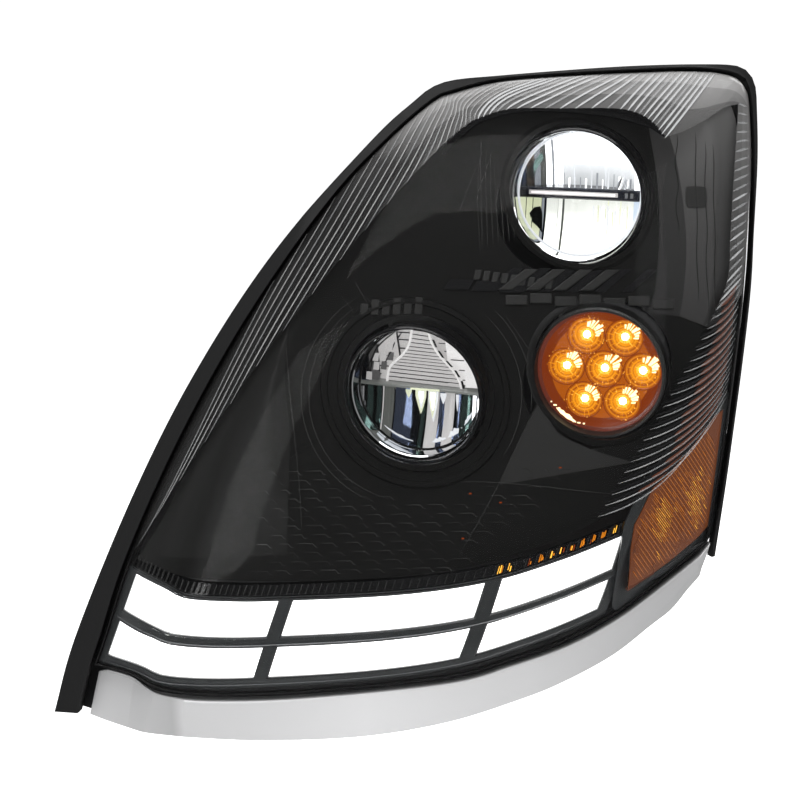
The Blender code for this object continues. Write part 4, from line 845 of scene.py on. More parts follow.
def make_bezel_panels():
    """Thin skins on the bezel, painted lighter than it by different amounts: painted light on its facets."""
    panels = Shape()
    skins = [
        ([(106, -6), (84, -49), (74, -71)], [(122, -32), (150, -44), (182, -54)], 0.5, 0),
        ([(212, 228), (223, 186), (229, 128), (226, 84), (222, 64)],
         [(256, 262), (277, 236), (281, 180), (276, 110), (254, 52)], 0.7, 1),
        ([(198, 227), (206, 170), (206, 120), (202, 84), (196, 66)],
         [(212, 228), (223, 186), (229, 128), (226, 84), (222, 64)], 0.6, 2),
        ([(-92, 52), (-94, 10), (-90, -35), (-92, -124)],
         [(-96, 62), (-138, 2), (-168, -58), (-200, -130)], 0.4, 4),
    ]
    for left, right, lift, kind in skins:
        skin(panels, left, right, lift, kind)
    patch = []
    for k in range(32):
        a = tau * k / 32
        size = max(abs(cos(a)), abs(sin(a))) ** 0.7
        patch.append((238 + 9 * cos(a) / size, 162 + 9 * sin(a) / size))
    panels.loft([[bezel_point(u, v, h) for u, v in patch] for h in (-0.4, 1.4)], 3)
    finishes = [BEZEL_SATIN_AND_LIT, BEZEL_WALL, BEZEL_SIDE, BEZEL_SATIN_AND_LIT, BEZEL_FAINT_LIGHT]
    panels.piece("bezel_panels", finishes, slot="black_plastic")


def make_bezel_dashes():
    """The raised edges of a brick pattern across the foot of the bezel, painted lighter as highlights, with a
    few painted amber glints.
    """
    random.seed(5)
    dashes, glints = Shape(), Shape()
    for row in range(12):
        level = -58 - 7 * row
        u = -150 - 3 * row + (row % 2) * 9
        while u < 128 - 9 * row:
            if reach(u, level) < 0.83 and hypot(u - 8.5, level) > 84 and u > -125:
                v = level - 0.00012 * (u - 20) ** 2
                wide = random.uniform(9, 13)
                brick = [(u, v), (u + wide, v), (u + wide + 2.4, v - 2.6), (u + wide + 4.5, v - 2.6)]
                dashes.rib(bezel_point, brick, random.uniform(0.35, 0.65), 0.9)
                if u > 0 and random.random() < 0.07:
                    glints.block((u + 2, v + 1), (u + 4, v + 2), 0.8)
            u += 18
    dashes.piece("bezel_dashes", BEZEL_EDGE_HIGHLIGHT, slot="black_plastic")
    glints.piece("bezel_glints", AMBER_DIM, slot="black_plastic")


def make_bezel_details():
    make_bezel_lines()
    make_bezel_blocks()
    make_bezel_panels()
    make_bezel_dashes()
    rings = [(59, 4.5), (64, 4), (65, 1.5), (72, 1.4), (73, 2.6), (77, 2.4), (78.5, 0.2)]
    make_surround("low_beam_surround", LOW_BEAM, 57.8, rings)
    make_surround("high_beam_surround", HIGH_BEAM, 57.8, [(59, 3), (63, 2.6), (66, 0.2)])
    make_surround("turn_signal_surround", TURN, 54.9, [(56.5, 1.5), (60, 1.2), (62, 0.2)])


# ---------------------------------------------------------------- running light
def height_on(points, u):
    """The height at u of a smooth curve through points."""
    i = max(k for k in range(len(points) - 1) if points[k][0] <= u or k == 0)
    (u0, v0), (u1, v1) = points[i], points[i + 1]
    before, after = points[max(i - 1, 0)], points[min(i + 2, len(points) - 1)]
    slope0 = (v1 - before[1]) / (u1 - before[0])
    slope1 = (after[1] - v0) / (after[0] - u0)
    span = u1 - u0
    t = (u - u0) / span
    return (v0 * (1 + 2 * t) * (1 - t) ** 2 + slope0 * span * t * (1 - t) ** 2
            + v1 * t * t * (3 - 2 * t) + slope1 * span * t * t * (t - 1))


def drl_uv(u, level):
    """A place on the running light: level is 0 on the lower edge of its windows and 1 on the upper."""
    rise = blend(DRL_RISE_INBOARD, DRL_RISE_OUTBOARD, (u + 259) / 423)
    return u + rise[0] * level, height_on(DRL_LOWER_EDGE, u) + rise[1] * level


def drl_point(u, level, gap):
    return behind_lens(*drl_uv(u, level), gap)


def spread(low, high, step):
    """Even steps of about step from low to high."""
    count = max(1, round((high - low) / step))
    return [low + (high - low) * k / count for k in range(count + 1)]


def in_window(u, level):
    return any(a < u < b for a, b in DRL_WINDOWS) and any(a < level < b for a, b in DRL_ROWS)


def window_ring(window, row, growth=(0, 0)):
    """The outline of a window, in u and level, with points every 7 mm along it."""
    low, high = window[0] - growth[0], window[1] + growth[0]
    bottom, top = row[0] - growth[1], row[1] + growth[1]
    along = spread(low, high, (high - low) / round((window[1] - window[0]) / 7))
    up = spread(bottom, top, (top - bottom) / 4)
    return ([(u, bottom) for u in along] + [(high, q) for q in up[1:]] + [(u, top) for u in along[-2::-1]]
            + [(low, q) for q in up[-2:0:-1]])


def make_drl():
    """The frame with its six windows, and the two diffusers behind it."""
    grow_u, grow_level = WINDOW_GROWTH
    stations = [-263]
    for low, high in DRL_WINDOWS:
        stations += spread(low - grow_u, high + grow_u, 7)
    stations.append(166)
    rows = [-0.15, -0.06, 0 - grow_level, 0.14, 0.28, 0.42 + grow_level, 0.49, 0.56 - grow_level, 0.7, 0.85,
            1 + grow_level, 1.06]
    grid = Shape()
    across = len(rows)
    grid.points = [drl_point(u, level, DRL_GAP) for u in stations for level in rows]
    for i in range(len(stations) - 1):
        for j in range(across - 1):
            if not in_window((stations[i] + stations[i + 1]) / 2, (rows[j] + rows[j + 1]) / 2):
                first, next_one = i * across + j, (i + 1) * across + j
                grid.faces.append([first, next_one, next_one + 1, first + 1])
                grid.kinds.append(0)
    rim = window_ring((stations[0], stations[-1]), (rows[0], rows[-1]))
    grid.tube([[drl_point(*at, gap) for at in rim] for gap in (DRL_GAP, DRL_GAP + 7)])
    for window in DRL_WINDOWS:
        for row in DRL_ROWS:
            wide, tight = window_ring(window, row, WINDOW_GROWTH), window_ring(window, row)
            levels = ((wide, 0), (wide, 0.3), (tight, 1.6), (tight, 7))
            grid.tube([[drl_point(*at, DRL_GAP + back) for at in ring] for ring, back in levels])
    grid.piece("drl_grid", FRAME_GREY, slot="grey_plastic", replaces=["drl_frame"], sharp=30)
    # Pale ribs along the frame's edges: painted highlights.
    edges = Shape()
    for level in (-0.1, 0.455):
        path = [drl_uv(u, level) for u in spread(-258, 164, 6)]
        edges.rib(lambda u, v, h: behind_lens(u, v, DRL_GAP - h), path, 0.5, 0.7)
    edges.piece("drl_edge_highlights", FRAME_EDGE_HIGHLIGHT, slot="grey_plastic")
    for side, low, high in (("lower", -0.03, 0.46), ("upper", 0.52, 1.03)):
        light = Shape()
        levels = [low + (high - low) * k / 5 for k in range(6)]
        light.sheet([[drl_point(u, level, DRL_GAP + 6.5) for level in levels] for u in spread(-256, 160, 8)])
        thicken(light.piece("drl_light_" + side, DRL_WHITE, slot="white_diffuser",
                            replaces=["drl_diffuser_" + side]), 3)
    make_rib_strip()


def drl_plate(shape, outline, gaps, kind=0):
    """A plate between two gaps behind the lens, from the outline's places on the running light."""
    shape.loft([[drl_point(*at, gap) for at in outline] for gap in gaps], kind)


def make_rib_strip():
    """The toothed strip along the top of the running light."""
    strip = Shape()
    profile = ((1.045, -0.5), (1.06, 1.5), (1.2, 2), (1.22, 6))
    strip.sheet([[drl_point(u, level, DRL_GAP + back) for level, back in profile]
                 for u in spread(-256, 168, 5)])
    thicken(strip.piece("drl_top_strip", GLOSS_BLACK, slot="black_plastic"), 1)
    teeth, glints = Shape(), Shape()
    random.seed(9)
    u = -256.0
    while u < 166:
        pitch = interpolate([(-260, 4.4), (-100, 5.2), (40, 8.2), (170, 9)], u)
        wide = 0.32 * pitch
        # Each tooth is gloss black with a thin lighter plate, a painted highlight on its edge; the amber plates
        # beside the outboard teeth are painted glints.
        for across, gaps, kind in ((wide, (DRL_GAP + 2.5, DRL_GAP - 1), 0),
                                   (0.5, (DRL_GAP - 0.5, DRL_GAP - 1.3), 1)):
            drl_plate(teeth, [(u, 1.075), (u + across, 1.075), (u + across, 1.2), (u, 1.2)], gaps, kind)
        for k in range(3 if u > 45 else 0):
            if random.random() < 0.75:
                at = u + wide + 0.6 + 1.4 * k + random.uniform(-0.3, 0.3)
                low, high = random.uniform(1.08, 1.11), random.uniform(1.13, 1.19)
                size = random.uniform(0.5, 1.3)
                outline = [(at, low), (at + size, low), (at + size * 0.7, high), (at, high)]
                drl_plate(glints, outline, (DRL_GAP + 2.5, DRL_GAP), random.choice((0, 1, 2)))
        u += pitch
    teeth.piece("drl_strip_teeth", [GLOSS_BLACK, BEZEL_EDGE_HIGHLIGHT], slot="black_plastic")
    glints.piece("drl_strip_glints", [AMBER_WARM, AMBER_DIM, AMBER_HOT], slot="amber")


# ---------------------------------------------------------------- side reflector
def reflex_span(level):
    """The ends in u, at a height v on the side reflector's front."""
    outline = REFLEX_OUTLINE + REFLEX_OUTLINE[:1]
    crossings = [a[0] + (b[0] - a[0]) * (level - a[1]) / (b[1] - a[1])
                 for a, b in zip(outline, outline[1:]) if (a[1] - level) * (b[1] - level) < 0]
    return min(crossings), max(crossings)


def bright_spot(u, v, centre, wide, tall):
    """How close (u, v) is to the centre of a bright spot, from 1 at its centre down to 0."""
    return exp(-(((u - centre[0]) / wide) ** 2) - ((v - centre[1]) / tall) ** 2)


def make_side_reflector():
    """The amber reflector, with diagonal ribs behind its glossy face, in a dark surround; its glow is painted
    light, and a darker facet inboard is painted shade.
    """
    count = 96
    path = []
    for a, b in zip(REFLEX_OUTLINE, REFLEX_OUTLINE[1:] + REFLEX_OUTLINE[:1]):
        path += [blend(a, b, k / 12) for k in range(12)]
    rings = []
    for share, gap in ((1, 9.6), (0.985, 8.2), (0.9, 8), (0.7, 8), (0.45, 8), (0.2, 8)):
        rings.append([behind_lens(u, v, gap) for u, v in scaled(path, share, REFLEX_CENTRE)])
    amber = Shape()
    amber.tube(rings)
    amber.add(rings[-1], [list(range(count))])
    thicken(amber.piece("side_reflector_lens", AMBER, slot="amber", replaces=["side_reflector"], sharp=50), 3)
    make_reflector_ribs()
    # A darker amber facet on the inboard side: painted shade.
    shade = Shape()
    facet = [(181, -158), (181, -124), (187, -106), (203, -84), (206, -104), (201, -138), (203, -146)]
    shade.loft([[behind_lens(u, v, 8 - h) for u, v in facet] for h in (-0.3, 0.62)])
    shade.piece("side_reflector_shade_facet", AMBER_SHADE, slot="amber")
    surround = smooth_curve(REFLEX_SURROUND + REFLEX_SURROUND[:1], count + 1)[:-1]
    first = min(range(count), key=lambda k: hypot(path[k][0] - surround[0][0], path[k][1] - surround[0][1]))
    inner = path[first:] + path[:first]
    levels = ((inner, 11), (inner, 9), (scaled(inner, 1.015, REFLEX_CENTRE), 8.6), (surround, 9.2),
              (surround, 14))
    frame_ring = Shape()
    frame_ring.tube([[behind_lens(u, v, gap) for u, v in ring] for ring, gap in levels])
    frame_ring.piece("side_reflector_surround", FRAME_GREY, slot="grey_plastic")


def make_reflector_ribs():
    """Diagonal ribs across the side reflector, every other one painted brighter as a highlight, with painted
    glints along them.
    """
    ribs, glints = Shape(), Shape()
    random.seed(3)
    lean = 1.25
    for k in range(100):
        foot = 152 + 2.0 * k
        points = []
        for j in range(40):
            v = -158 + 4 * j
            u = foot - (v + 158) / lean
            low, high = reflex_span(v) if -159.5 < v < -12.5 else (0, 0)
            if low + 1.5 < u < high - 1.5:
                points.append((u, v))
        if len(points) > 2:
            ribs.rib(lambda u, v, h: behind_lens(u, v, 8 - h), points, 0.4, 0.5, kind=k % 2)
        for start, end in zip(points, points[1:]):
            glow = max(bright_spot(*start, (208, -102), 10, 20), bright_spot(*start, (237, -84), 10, 22))
            if random.random() < 0.95 * glow + 0.02:
                wide = random.uniform(0.3, 0.7)
                kind = 1 if random.random() < 0.85 * glow else 0
                glints.rib(lambda u, v, h: behind_lens(u, v, 7.6 - h), [start, end], wide, 0.5, kind)
    ribs.piece("side_reflector_ribs", [AMBER_RIB, AMBER], slot="amber")
    glints.piece("side_reflector_glints", [AMBER_WARM, AMBER_HOT], slot="amber")


# ---------------------------------------------------------------- turn signal
def led_centres():
    return [TURN + LED_SHIFT] + around(TURN + LED_SHIFT, LED_PITCH, 0, 6)


def ray(shape, centre, angle, inner, outer, spans, depths, kind=0):
    """A flat wedge that points away from a centre: spans are its half angles at both ends."""
    near, far = spans
    ring = [(inner, angle - near), (outer, angle - far), (outer, angle + far), (inner, angle + near)]
    shape.loft([[centre + Vector((r * cos(a), d, r * sin(a))) for r, a in ring] for d in depths], kind)


def make_turn_signal():
    """The rim, the dome, the seven cups on their plate, and the lit shapes in them."""
    rim = [(51.5, -7.6), (53.2, -7.9), (54.6, -6.6), (54.7, 3.6), (51.6, 3.6)]
    turned("turn_signal_rim", closed(rim), TURN, BEZEL_SATIN_AND_LIT, slot="gloss_black",
           replaces=["turn_signal_ring"])
    radius, crown = 51.4, 7
    dome = [(radius * k / 12, -crown * (1 - (k / 12) ** 2)) for k in range(1, 13)]
    inner = [(r * 0.97, d + 1.8) for r, d in dome]
    turned("turn_signal_dome", dome + inner[::-1], TURN, AMBER_GLASS, slot="glass_clear",
           replaces=["turn_signal_lens"])
    plate = Shape()
    for centre in led_centres():
        rings = [around(centre, r, d) for r, d in CUP_STEPS]
        for i, kind in enumerate(CUP_KINDS):
            plate.tube(rings[i:i + 2], kind)
    finishes = [AMBER_CORE, AMBER_HOT, AMBER_WARM, AMBER_MID, AMBER_DIM, AMBER_GLOW]
    plate.piece("turn_signal_cups", finishes, slot="chrome", replaces=["turn_signal_reflector"], sharp=20)
    back = [(0.5, 9.4), (22, 9.4), (36, 9.2), (41, 8.8), (44, 7.4), (48, 5), (51, 4.6), (51.4, 4.6), (51.4, 19),
            (0.5, 19)]
    turned("turn_signal_back", back, TURN, [AMBER_MID, AMBER_DIM, AMBER_DARK], slot="chrome",
           kinds=[0, 0, 0, 1, 1, 2, 2, 2, 2])
    random.seed(7)
    flares, sparks = Shape(), Shape()
    for centre in led_centres():
        light_up(flares, sparks, centre)
    for k in range(9):
        angle, r = radians(216 + 5 * k), 47.5 - 0.8 * (k % 3)
        wide, tall = random.uniform(1, 3), random.uniform(0.5, 1.2)
        spark(sparks, TURN, r * cos(angle), r * sin(angle), 1.0, wide, tall, 2)
    flares.piece("turn_signal_flares", [AMBER_FLARE, AMBER_HOT, AMBER_GLOW], slot="chrome")
    sparks.piece("turn_signal_sparks", [AMBER_HOT, AMBER_WARM, AMBER_FLARE], slot="chrome")
    glint = Shape()
    panel(glint, TURN, sliver(47.6, 224, 248, 2.6), 1.6)
    glint.piece("turn_signal_glint", AMBER_FLARE, slot="chrome")


def light_up(flares, sparks, centre):
    """The fan of flares above one LED, the short rays all round it and the sparks in its cup."""
    for k in range(9):
        angle = radians(4 + 10 * k + random.uniform(-3, 3))
        swell = sin(pi * (k + 0.7) / 9.4)
        near, far = random.uniform(7.4, 8.8), 10 + 6.4 * swell * random.uniform(0.45, 1)
        ray(flares, centre, angle, near, far, (0.05, random.uniform(0.03, 0.07)), (5.6, 2.6), 0)
        longer = far + random.uniform(0.6, 2.6)
        ray(flares, centre, angle + 0.09, near - 1, longer, (0.02, 0.008), (5.9, 2.8), 2)
    for k in range(14):
        angle = radians(25.7 * k + random.uniform(-6, 6))
        kind = 2 if k % 3 else 1
        ray(flares, centre, angle, 2.5, random.uniform(6, 10.5), (0.12, 0.008), (6.6, 5.6), kind)
        ray(flares, centre, angle + 0.2, 9, random.uniform(12, 15.4), (0.012, 0.004), (5.4, 3.4), 2)
    for k in range(26):
        angle = radians(random.uniform(0, 360))
        r = random.uniform(9, 17)
        x, z = r * cos(angle), r * sin(angle)
        if hypot(centre.x - TURN.x + x, centre.z - TURN.z + z) < 48:
            spark(sparks, centre, x, z, 3.2, random.uniform(0.3, 0.7), random.uniform(0.3, 1.1), k % 2)


# ---------------------------------------------------------------- beam units
def bowl_depth(x, z):
    return BOWL_FRONT + BOWL_DEPTH * (1 - min(1, (x * x + z * z) / BOWL_RIM**2))


def half_bowl(name, place, side, facets, finishes, body, bulge=1.6, clear=2.2):
    """Upright facets in one half of a bowl: side is 1 for the upper half and -1 for the lower.

    facets is a list of (left edge, material number); the last entry closes the row."""
    shape = Shape()
    for (x0, kind), (x1, after) in zip(facets, facets[1:]):
        middle = (x0 + x1) / 2
        sections = []
        for x in [x0 + (x1 - x0) * k / 6 for k in range(7)]:
            tall = sqrt(max(0.5, BOWL_RIM**2 - x * x))
            column = []
            for k in range(13):
                z = clear + (tall - clear) * k / 12
                depth = bowl_depth(middle, z) + bulge * (1 - ((x - middle) / (x1 - middle)) ** 2)
                column.append(place + Vector((x, min(depth, BOWL_FRONT + BOWL_DEPTH + 2), side * z)))
            sections.append(column)
        shape.sheet(sections, kind)
    return shape.piece(name, finishes, body=body, slot="chrome", sharp=15)


def make_unit_shell(name, place, body, lip):
    """The chrome wall, the rim, the glass and the black collar of one beam unit."""
    wall = [(52.6, -0.6), (53.4, -1.4), (54.4, -0.8), (54.6, 2), (54.2, 24), (51.5, 24), (50.8, 12.4),
            (51.2, 11.6), (51.9, 9), (52.2, 4)]
    turned(name + "_wall", closed(wall), place, CHROME, body=body, slot="chrome", replaces=[name + "_ring"])
    gap = [(50.2, 12.6), (51.6, 12.2), (51.7, 11.2), (50.6, 11.2), (50.0, 12.2)]
    turned(name + "_inner_lip", closed(gap), place, lip, body=body, slot="gloss_black")
    crown = [(GLASS_EDGE * k / 10, -1.6 + 2.0 * (k / 10) ** 2) for k in range(1, 11)]
    turned(name + "_cover_glass", crown + [(GLASS_EDGE, 2.6), (0.5, 2.6)], place, CLEAR_GLASS, body=body,
           slot="glass_clear", replaces=[name + "_glass"])
    collar = [(54.8, -3), (54.2, -7), (54.2, -12), (54.8, -14.8), (56, -15.6), (57.2, -14.8), (57.6, -12),
              (57.6, 24), (56.8, 24), (56.8, -3)]
    turned(name + "_collar_ring", closed(collar), place, GLOSS_BLACK, slot="gloss_black",
           replaces=[name + "_collar"])


def panel(shape, place, outline, depth, kind=0, thick=0.8):
    """A flat plate that faces forwards, from (x, z) points about a lamp's centre."""
    levels = (depth, depth - thick)
    shape.loft([[place + Vector((x, level, z)) for x, z in outline] for level in levels], kind)


def spark(shape, place, x, z, depth, wide, tall, kind=0):
    """A small lit window that faces forwards."""
    w, t = wide / 2, tall / 2
    panel(shape, place, [(x - w, z - t), (x + w, z - t), (x + w, z + t), (x - w, z + t)], depth, kind)


def sliver(radius, start, end, fat, count=14):
    """Points round a sliver that follows a circle, between two angles in degrees."""
    outer, inner = [], []
    for k in range(count + 1):
        a = radians(start + (end - start) * k / count)
        swell = fat * sin(pi * (0.04 + 0.92 * k / count)) * (1 + 0.25 * sin(5 * k))
        outer.append(((radius + 0.3 * swell) * cos(a), (radius + 0.3 * swell) * sin(a)))
        inner.append(((radius - swell) * cos(a), (radius - swell) * sin(a)))
    return outer + inner[::-1]


def fan_depth(z):
    return 20 - 8 * max(0, min(1, z / 50))


def make_low_beam_fan(place, body):
    """The stepped panel over the shelf, between its two curved rails."""
    left, right = smooth_curve(FAN_LEFT, 46), smooth_curve(FAN_RIGHT, 46)
    fan = Shape()
    for k in range(15):
        # Each step: a face in the glowing grey, and a riser set back in the dark seam colour, painted shade.
        for low, high, kind, lift in ((3 * k, 3 * k + 2.1, 0, 0), (3 * k + 2.1, 3 * k + 3, 1, -1.1)):
            sections = []
            for i in (low, high):
                start, end = spline(left, i), spline(right, i)
                line = [blend(start, end, share) for share in (0, 0.33, 0.67, 1)]
                sections.append([place + Vector((x, fan_depth(start[1]) - lift, z)) for x, z in line])
            fan.sheet(sections, kind)
    fan.piece("low_beam_fan", [PANEL_GREY, DARK_SEAM_AND_SHADE], body=body, slot="chrome", replaces=["low_beam_reflector"],
              sharp=20)
    rails = Shape()
    for path in (left, right):
        rails.rib(lambda x, z, h: place + Vector((x, fan_depth(z) - 1.2 - h, z)), path, 1.0, 1.3,
                  ends=False)
    rails.piece("low_beam_fan_rails", PANEL_BRIGHT, body=body, slot="chrome")
    notches = Shape()
    for k in range(5):
        (x0, z0), (x1, z1) = spline(right, 7 + 8 * k), spline(right, 12 + 8 * k)
        slot = [(x0 + 1.6, z0), (x1 + 1.6, z1), (x1 + 3.2, z1), (x0 + 3.2, z0)]
        panel(notches, place, slot, fan_depth(z0) - 1.6)
    notches.piece("low_beam_fan_notches", GLOSS_BLACK, body=body, slot="chrome")


def make_low_beam_sides(place, body):
    """Light side panels with dark seams, and the darker boxes at the inboard end."""
    seams = Shape()
    outboard = ((44, 13, 24), (38, 14, 32), (31, 18, 39), (24, 23, 43), (16, 30, 46), (8, 33, 48))
    for z, x0, x1 in outboard:
        spark(seams, place, (x0 + x1) / 2, z - 0.6, bowl_depth(x0, z) - 1.5, x1 - x0, 0.6)
    inboard = ((46, -22, -9), (39, -32, -10), (31, -39, -13), (24, -40, -20), (15, -42, -28), (8, -46, -30))
    for z, x0, x1 in inboard:
        spark(seams, place, (x0 + x1) / 2, z - 0.8, bowl_depth(x1, z) - 1.5, x1 - x0, 0.9)
    upright = ([(-20, 46), (-30, 38), (-38, 28), (-42, 14), (-43, 3)],
               [(-15, 46), (-22, 36), (-27, 26), (-33, 15)], [(-34, 36), (-40, 24), (-46, 10)])
    for path in upright:
        seams.rib(lambda x, z, h: place + Vector((x, bowl_depth(x, z) - 1.4 - h, z)),
                  smooth_curve(path, 14), 0.6, 0.8)
    seams.piece("low_beam_seams", DARK_SEAM_AND_SHADE, body=body, slot="chrome")
    boxes = Shape()
    for column, x in enumerate((-46, -40.5, -35, -29.5)):
        for row in range(5):
            z = 4 + 8 * row
            if hypot(x, z + 6) > 49 or x > -21 - 0.2 * z:
                continue
            lean = 0.3 * row
            outline = [(x, z), (x + 4.6, z - 0.3), (x + 4.8 + lean, z + 6.2), (x + 0.6 + lean, z + 6.4)]
            # Two boxes in three glow brighter than the third: painted light and shade.
            kind = (column + row * 2) % 3
            panel(boxes, place, outline, bowl_depth(x + 2, z + 3) - 1.2, kind, 1.2)
    boxes.piece("low_beam_boxes", [PANEL_GREY, SIDE_GREY, PANEL_GREY], body=body, slot="chrome")


def make_low_beam():
    body = "low_beam_unit"
    place = LOW_BEAM
    make_unit_shell("low_beam", place, body, GLOSS_BLACK)
    finishes = [CHROME, DARK_CHROME, PANEL_GREY, GREEN_GLOW, DARK_SEAM_AND_SHADE, SIDE_GREY, PANEL_BRIGHT, GREEN_CHROME]
    upper = [(-50, 1), (-44, 5), (-37, 2), (-20, 2), (0, 2), (20, 6), (36, 6), (50, 2)]
    half_bowl("low_beam_upper_bowl", place, 1, upper, finishes, body, bulge=0.4)
    lower = [(-50, 0), (-46, 7), (-34, 2), (-33, 3), (-25, 1), (-4, 7), (2, 2), (12, 1), (17, 2), (26, 1),
             (32, 7), (43, 0), (50, 0)]
    half_bowl("low_beam_lower_facets", place, -1, lower, finishes, body)
    make_low_beam_fan(place, body)
    make_low_beam_sides(place, body)
    shelf = Shape()
    profile = [(12.2, 0.6), (12.8, 1.5), (33, 1.8), (33, -1.8), (12.8, -1.3), (12.2, -0.8)]
    shelf.loft([[place + Vector((x, d, z - 0.03 * x)) for d, z in profile] for x in spread(-50, 50, 6)])
    shelf.piece("low_beam_shelf", SHELF_GREY, body=body, slot="gloss_black", replaces=["low_beam_bar"])
    lights = Shape()
    for x, top, wide, tall, kind, depth in LOW_BEAM_DROPS:
        panel(lights, place, [(x + wide * a, top + tall * b) for a, b in DROP], depth, kind)
    spark(lights, place, 4, -0.4, 11.9, 24, 1.4, 1)
    for start, end, fat in ((228, 262, 1.1), (282, 297, 2.6), (300, 318, 3.4), (322, 338, 1.8)):
        panel(lights, place, sliver(46, start, end, fat), 15, 2)
    lights.piece("low_beam_glows", [LIT_WHITE, SOFT_YELLOW, SOFT_WHITE], body=body, slot="white_diffuser")


def make_high_beam():
    body = "high_beam_unit"
    place = HIGH_BEAM
    make_unit_shell("high_beam", place, body, SOFT_WHITE)
    finishes = [CHROME, DARK_CHROME, SOFT_WHITE, SOFT_YELLOW, LIT_WHITE, BROWN_CHROME, PALE_BLUE, GREEN_GLOW,
                HIGH_UPPER, HIGH_LOWER, PALE_GREY]
    upper = [(-50, 1), (-45, 5), (-39, 10), (-34, 7), (-30, 4), (-25, 10), (-23.6, 4), (-16, 8), (-8, 2),
             (-7, 8), (6, 8), (19, 2), (20, 8), (33, 8), (45, 4), (50, 4)]
    half_bowl("high_beam_upper_facets", place, 1, upper, finishes, body, clear=4.5)
    lower = [(-50, 3), (-45, 3), (-40, 3), (-33, 10), (-31, 1), (-29.6, 9), (-20, 9), (-16.6, 7), (-15, 9),
             (-4, 9), (12, 9), (22, 3), (23, 9), (33, 3), (34, 9), (45, 6), (50, 4)]
    bowl = half_bowl("high_beam_lower_facets", place, -1, lower, finishes, body, clear=4.5)
    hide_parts("high_beam_reflector")
    bar = Shape()
    profile = [(11.6, 3.4), (13, 4.6), (32, 4.8), (32, -4.8), (13, -4.6), (11.6, -3.4)]
    bar.loft([[place + Vector((x, d, z)) for d, z in profile] for x in spread(-50, 50, 6)])
    bar.piece("high_beam_bridge", NAVY_BLACK, body=body, slot="gloss_black", replaces=["high_beam_bar"])
    lights = Shape()
    spark(lights, place, -5, 0.3, 11.5, 74, 3.6)
    spark(lights, place, -5, 0.3, 10.9, 70, 1.6, 2)
    for x in (-46, 39, 43.5):
        spark(lights, place, x, 0.3, 11.5, 2.4, 4.2, 1)
    lights.piece("high_beam_light_bar", [PANEL_GREY, CHROME, BAR_LIGHT], body=body, slot="white_diffuser")
    make_high_beam_seams(place, body)
    shades = Shape()
    for outline in ([(-42, -18), (-38, -13), (-33, -12), (-31, -18), (-31, -34), (-35, -29), (-40, -25)],
                    [(-44, 12), (-40, 24), (-33, 33), (-31, 28), (-37, 18), (-40, 9)]):
        panel(shades, place, outline, 15)
    shades.piece("high_beam_shades", GREEN_CHROME, body=body, slot="chrome")


def make_high_beam_seams(place, body):
    """Short upright lines in both halves of the bowl, and slanting ones at its outboard end."""
    seams = Shape()
    random.seed(13)
    for k in range(16):
        low, high = random.uniform(8, 14), random.uniform(20, 36 - 0.3 * k)
        wide, kind = random.uniform(0.5, 1.2), (1, 4, 2)[k % 3]
        spark(seams, place, 12 + 2 * k, -(low + high) / 2, 13.6, wide, high - low, kind)
    for k in range(14):
        high = random.uniform(7, 15)
        spark(seams, place, -18 + 4.6 * k, 5 + high / 2, 14, random.uniform(0.4, 1.6), high, (1, 0, 4)[k % 3])
    for k in range(12):
        outline = [(30 + 1.3 * k, 6), (31 + 1.2 * k, 6.2), (34 + 0.9 * k, random.uniform(8, 20)),
                   (33 + k, random.uniform(8, 16))]
        panel(seams, place, outline, 13.4 - 0.1 * k, (0, 3, 4, 1, 5)[k % 5])
    finishes = [PALE_GREY, SOFT_WHITE, SOFT_YELLOW, SIDE_GREY, LIT_WHITE, GREEN_GLOW]
    seams.piece("high_beam_seams", finishes, body=body, slot="chrome")


# ---------------------------------------------------------------- the back of the lamp
def service_cap(name):
    """A service cap with a knurled skirt, a grip bar and raised rings, in place of the plain one."""
    low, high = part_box(name)
    centre = Vector(((low.x + high.x) / 2, 0, (low.z + high.z) / 2)) / MM
    radius, front, back = (high.x - low.x) / 2 / MM, low.y / MM, high.y / MM
    top = back - CAP_BAR
    cap = Shape()
    sides = 240
    rings = []
    levels = ((0.3, front), (0.93, front), (1, front + 1), (1, top - 3), (0.97, top - 0.6), (0.94, top),
              (0.84, top), (0.82, top - 1.6), (0.5, top - 1.6), (0.48, top - 0.4), (0.1, top - 0.4))
    for share, depth in levels:
        ring = []
        for k in range(sides):
            notch = 0.975 if share == 1 and k % 6 in (0, 1, 2) else 1
            a = tau * k / sides
            r = radius * share * notch
            ring.append(centre + Vector((r * cos(a), depth, r * sin(a))))
        rings.append(ring)
    cap.loft(rings)
    body = name.replace("_cap", "_service_cap")
    cap.piece(name + "_shell", HOUSING_BLACK, body=body, slot="black_plastic", replaces=[name], sharp=25)
    grip = Shape()
    for half, wide in ((0.72, 3.4), (0.2, 6.5)):
        x, z = radius * half, wide
        ring = [(-x, -z * 0.6), (-x + 3, -z), (x - 3, -z), (x, -z * 0.6), (x, z * 0.6), (x - 3, z),
                (-x + 3, z), (-x, z * 0.6)]
        reach_back = back - 0.4 if half > 0.5 else back - 2
        grip.loft([[centre + Vector((px, d, pz)) for px, pz in ring] for d in (top - 3, reach_back)])
    soften(grip.piece(name + "_grip", HOUSING_BLACK, body=body, slot="black_plastic"), 0.8)


def wall_behind(x, z):
    """The depth of the housing's outer face, seen from behind at (x, z), or None beside it."""
    housing = frame["nodes"]["housing"]
    inverse = housing.matrix_world.inverted()
    start, way = inverse @ (Vector((x, 400, z)) * MM), inverse.to_3x3() @ Vector((0, -1, 0))
    found, place, normal, index = housing.ray_cast(start, way)
    return (housing.matrix_world @ place).y / MM if found else None


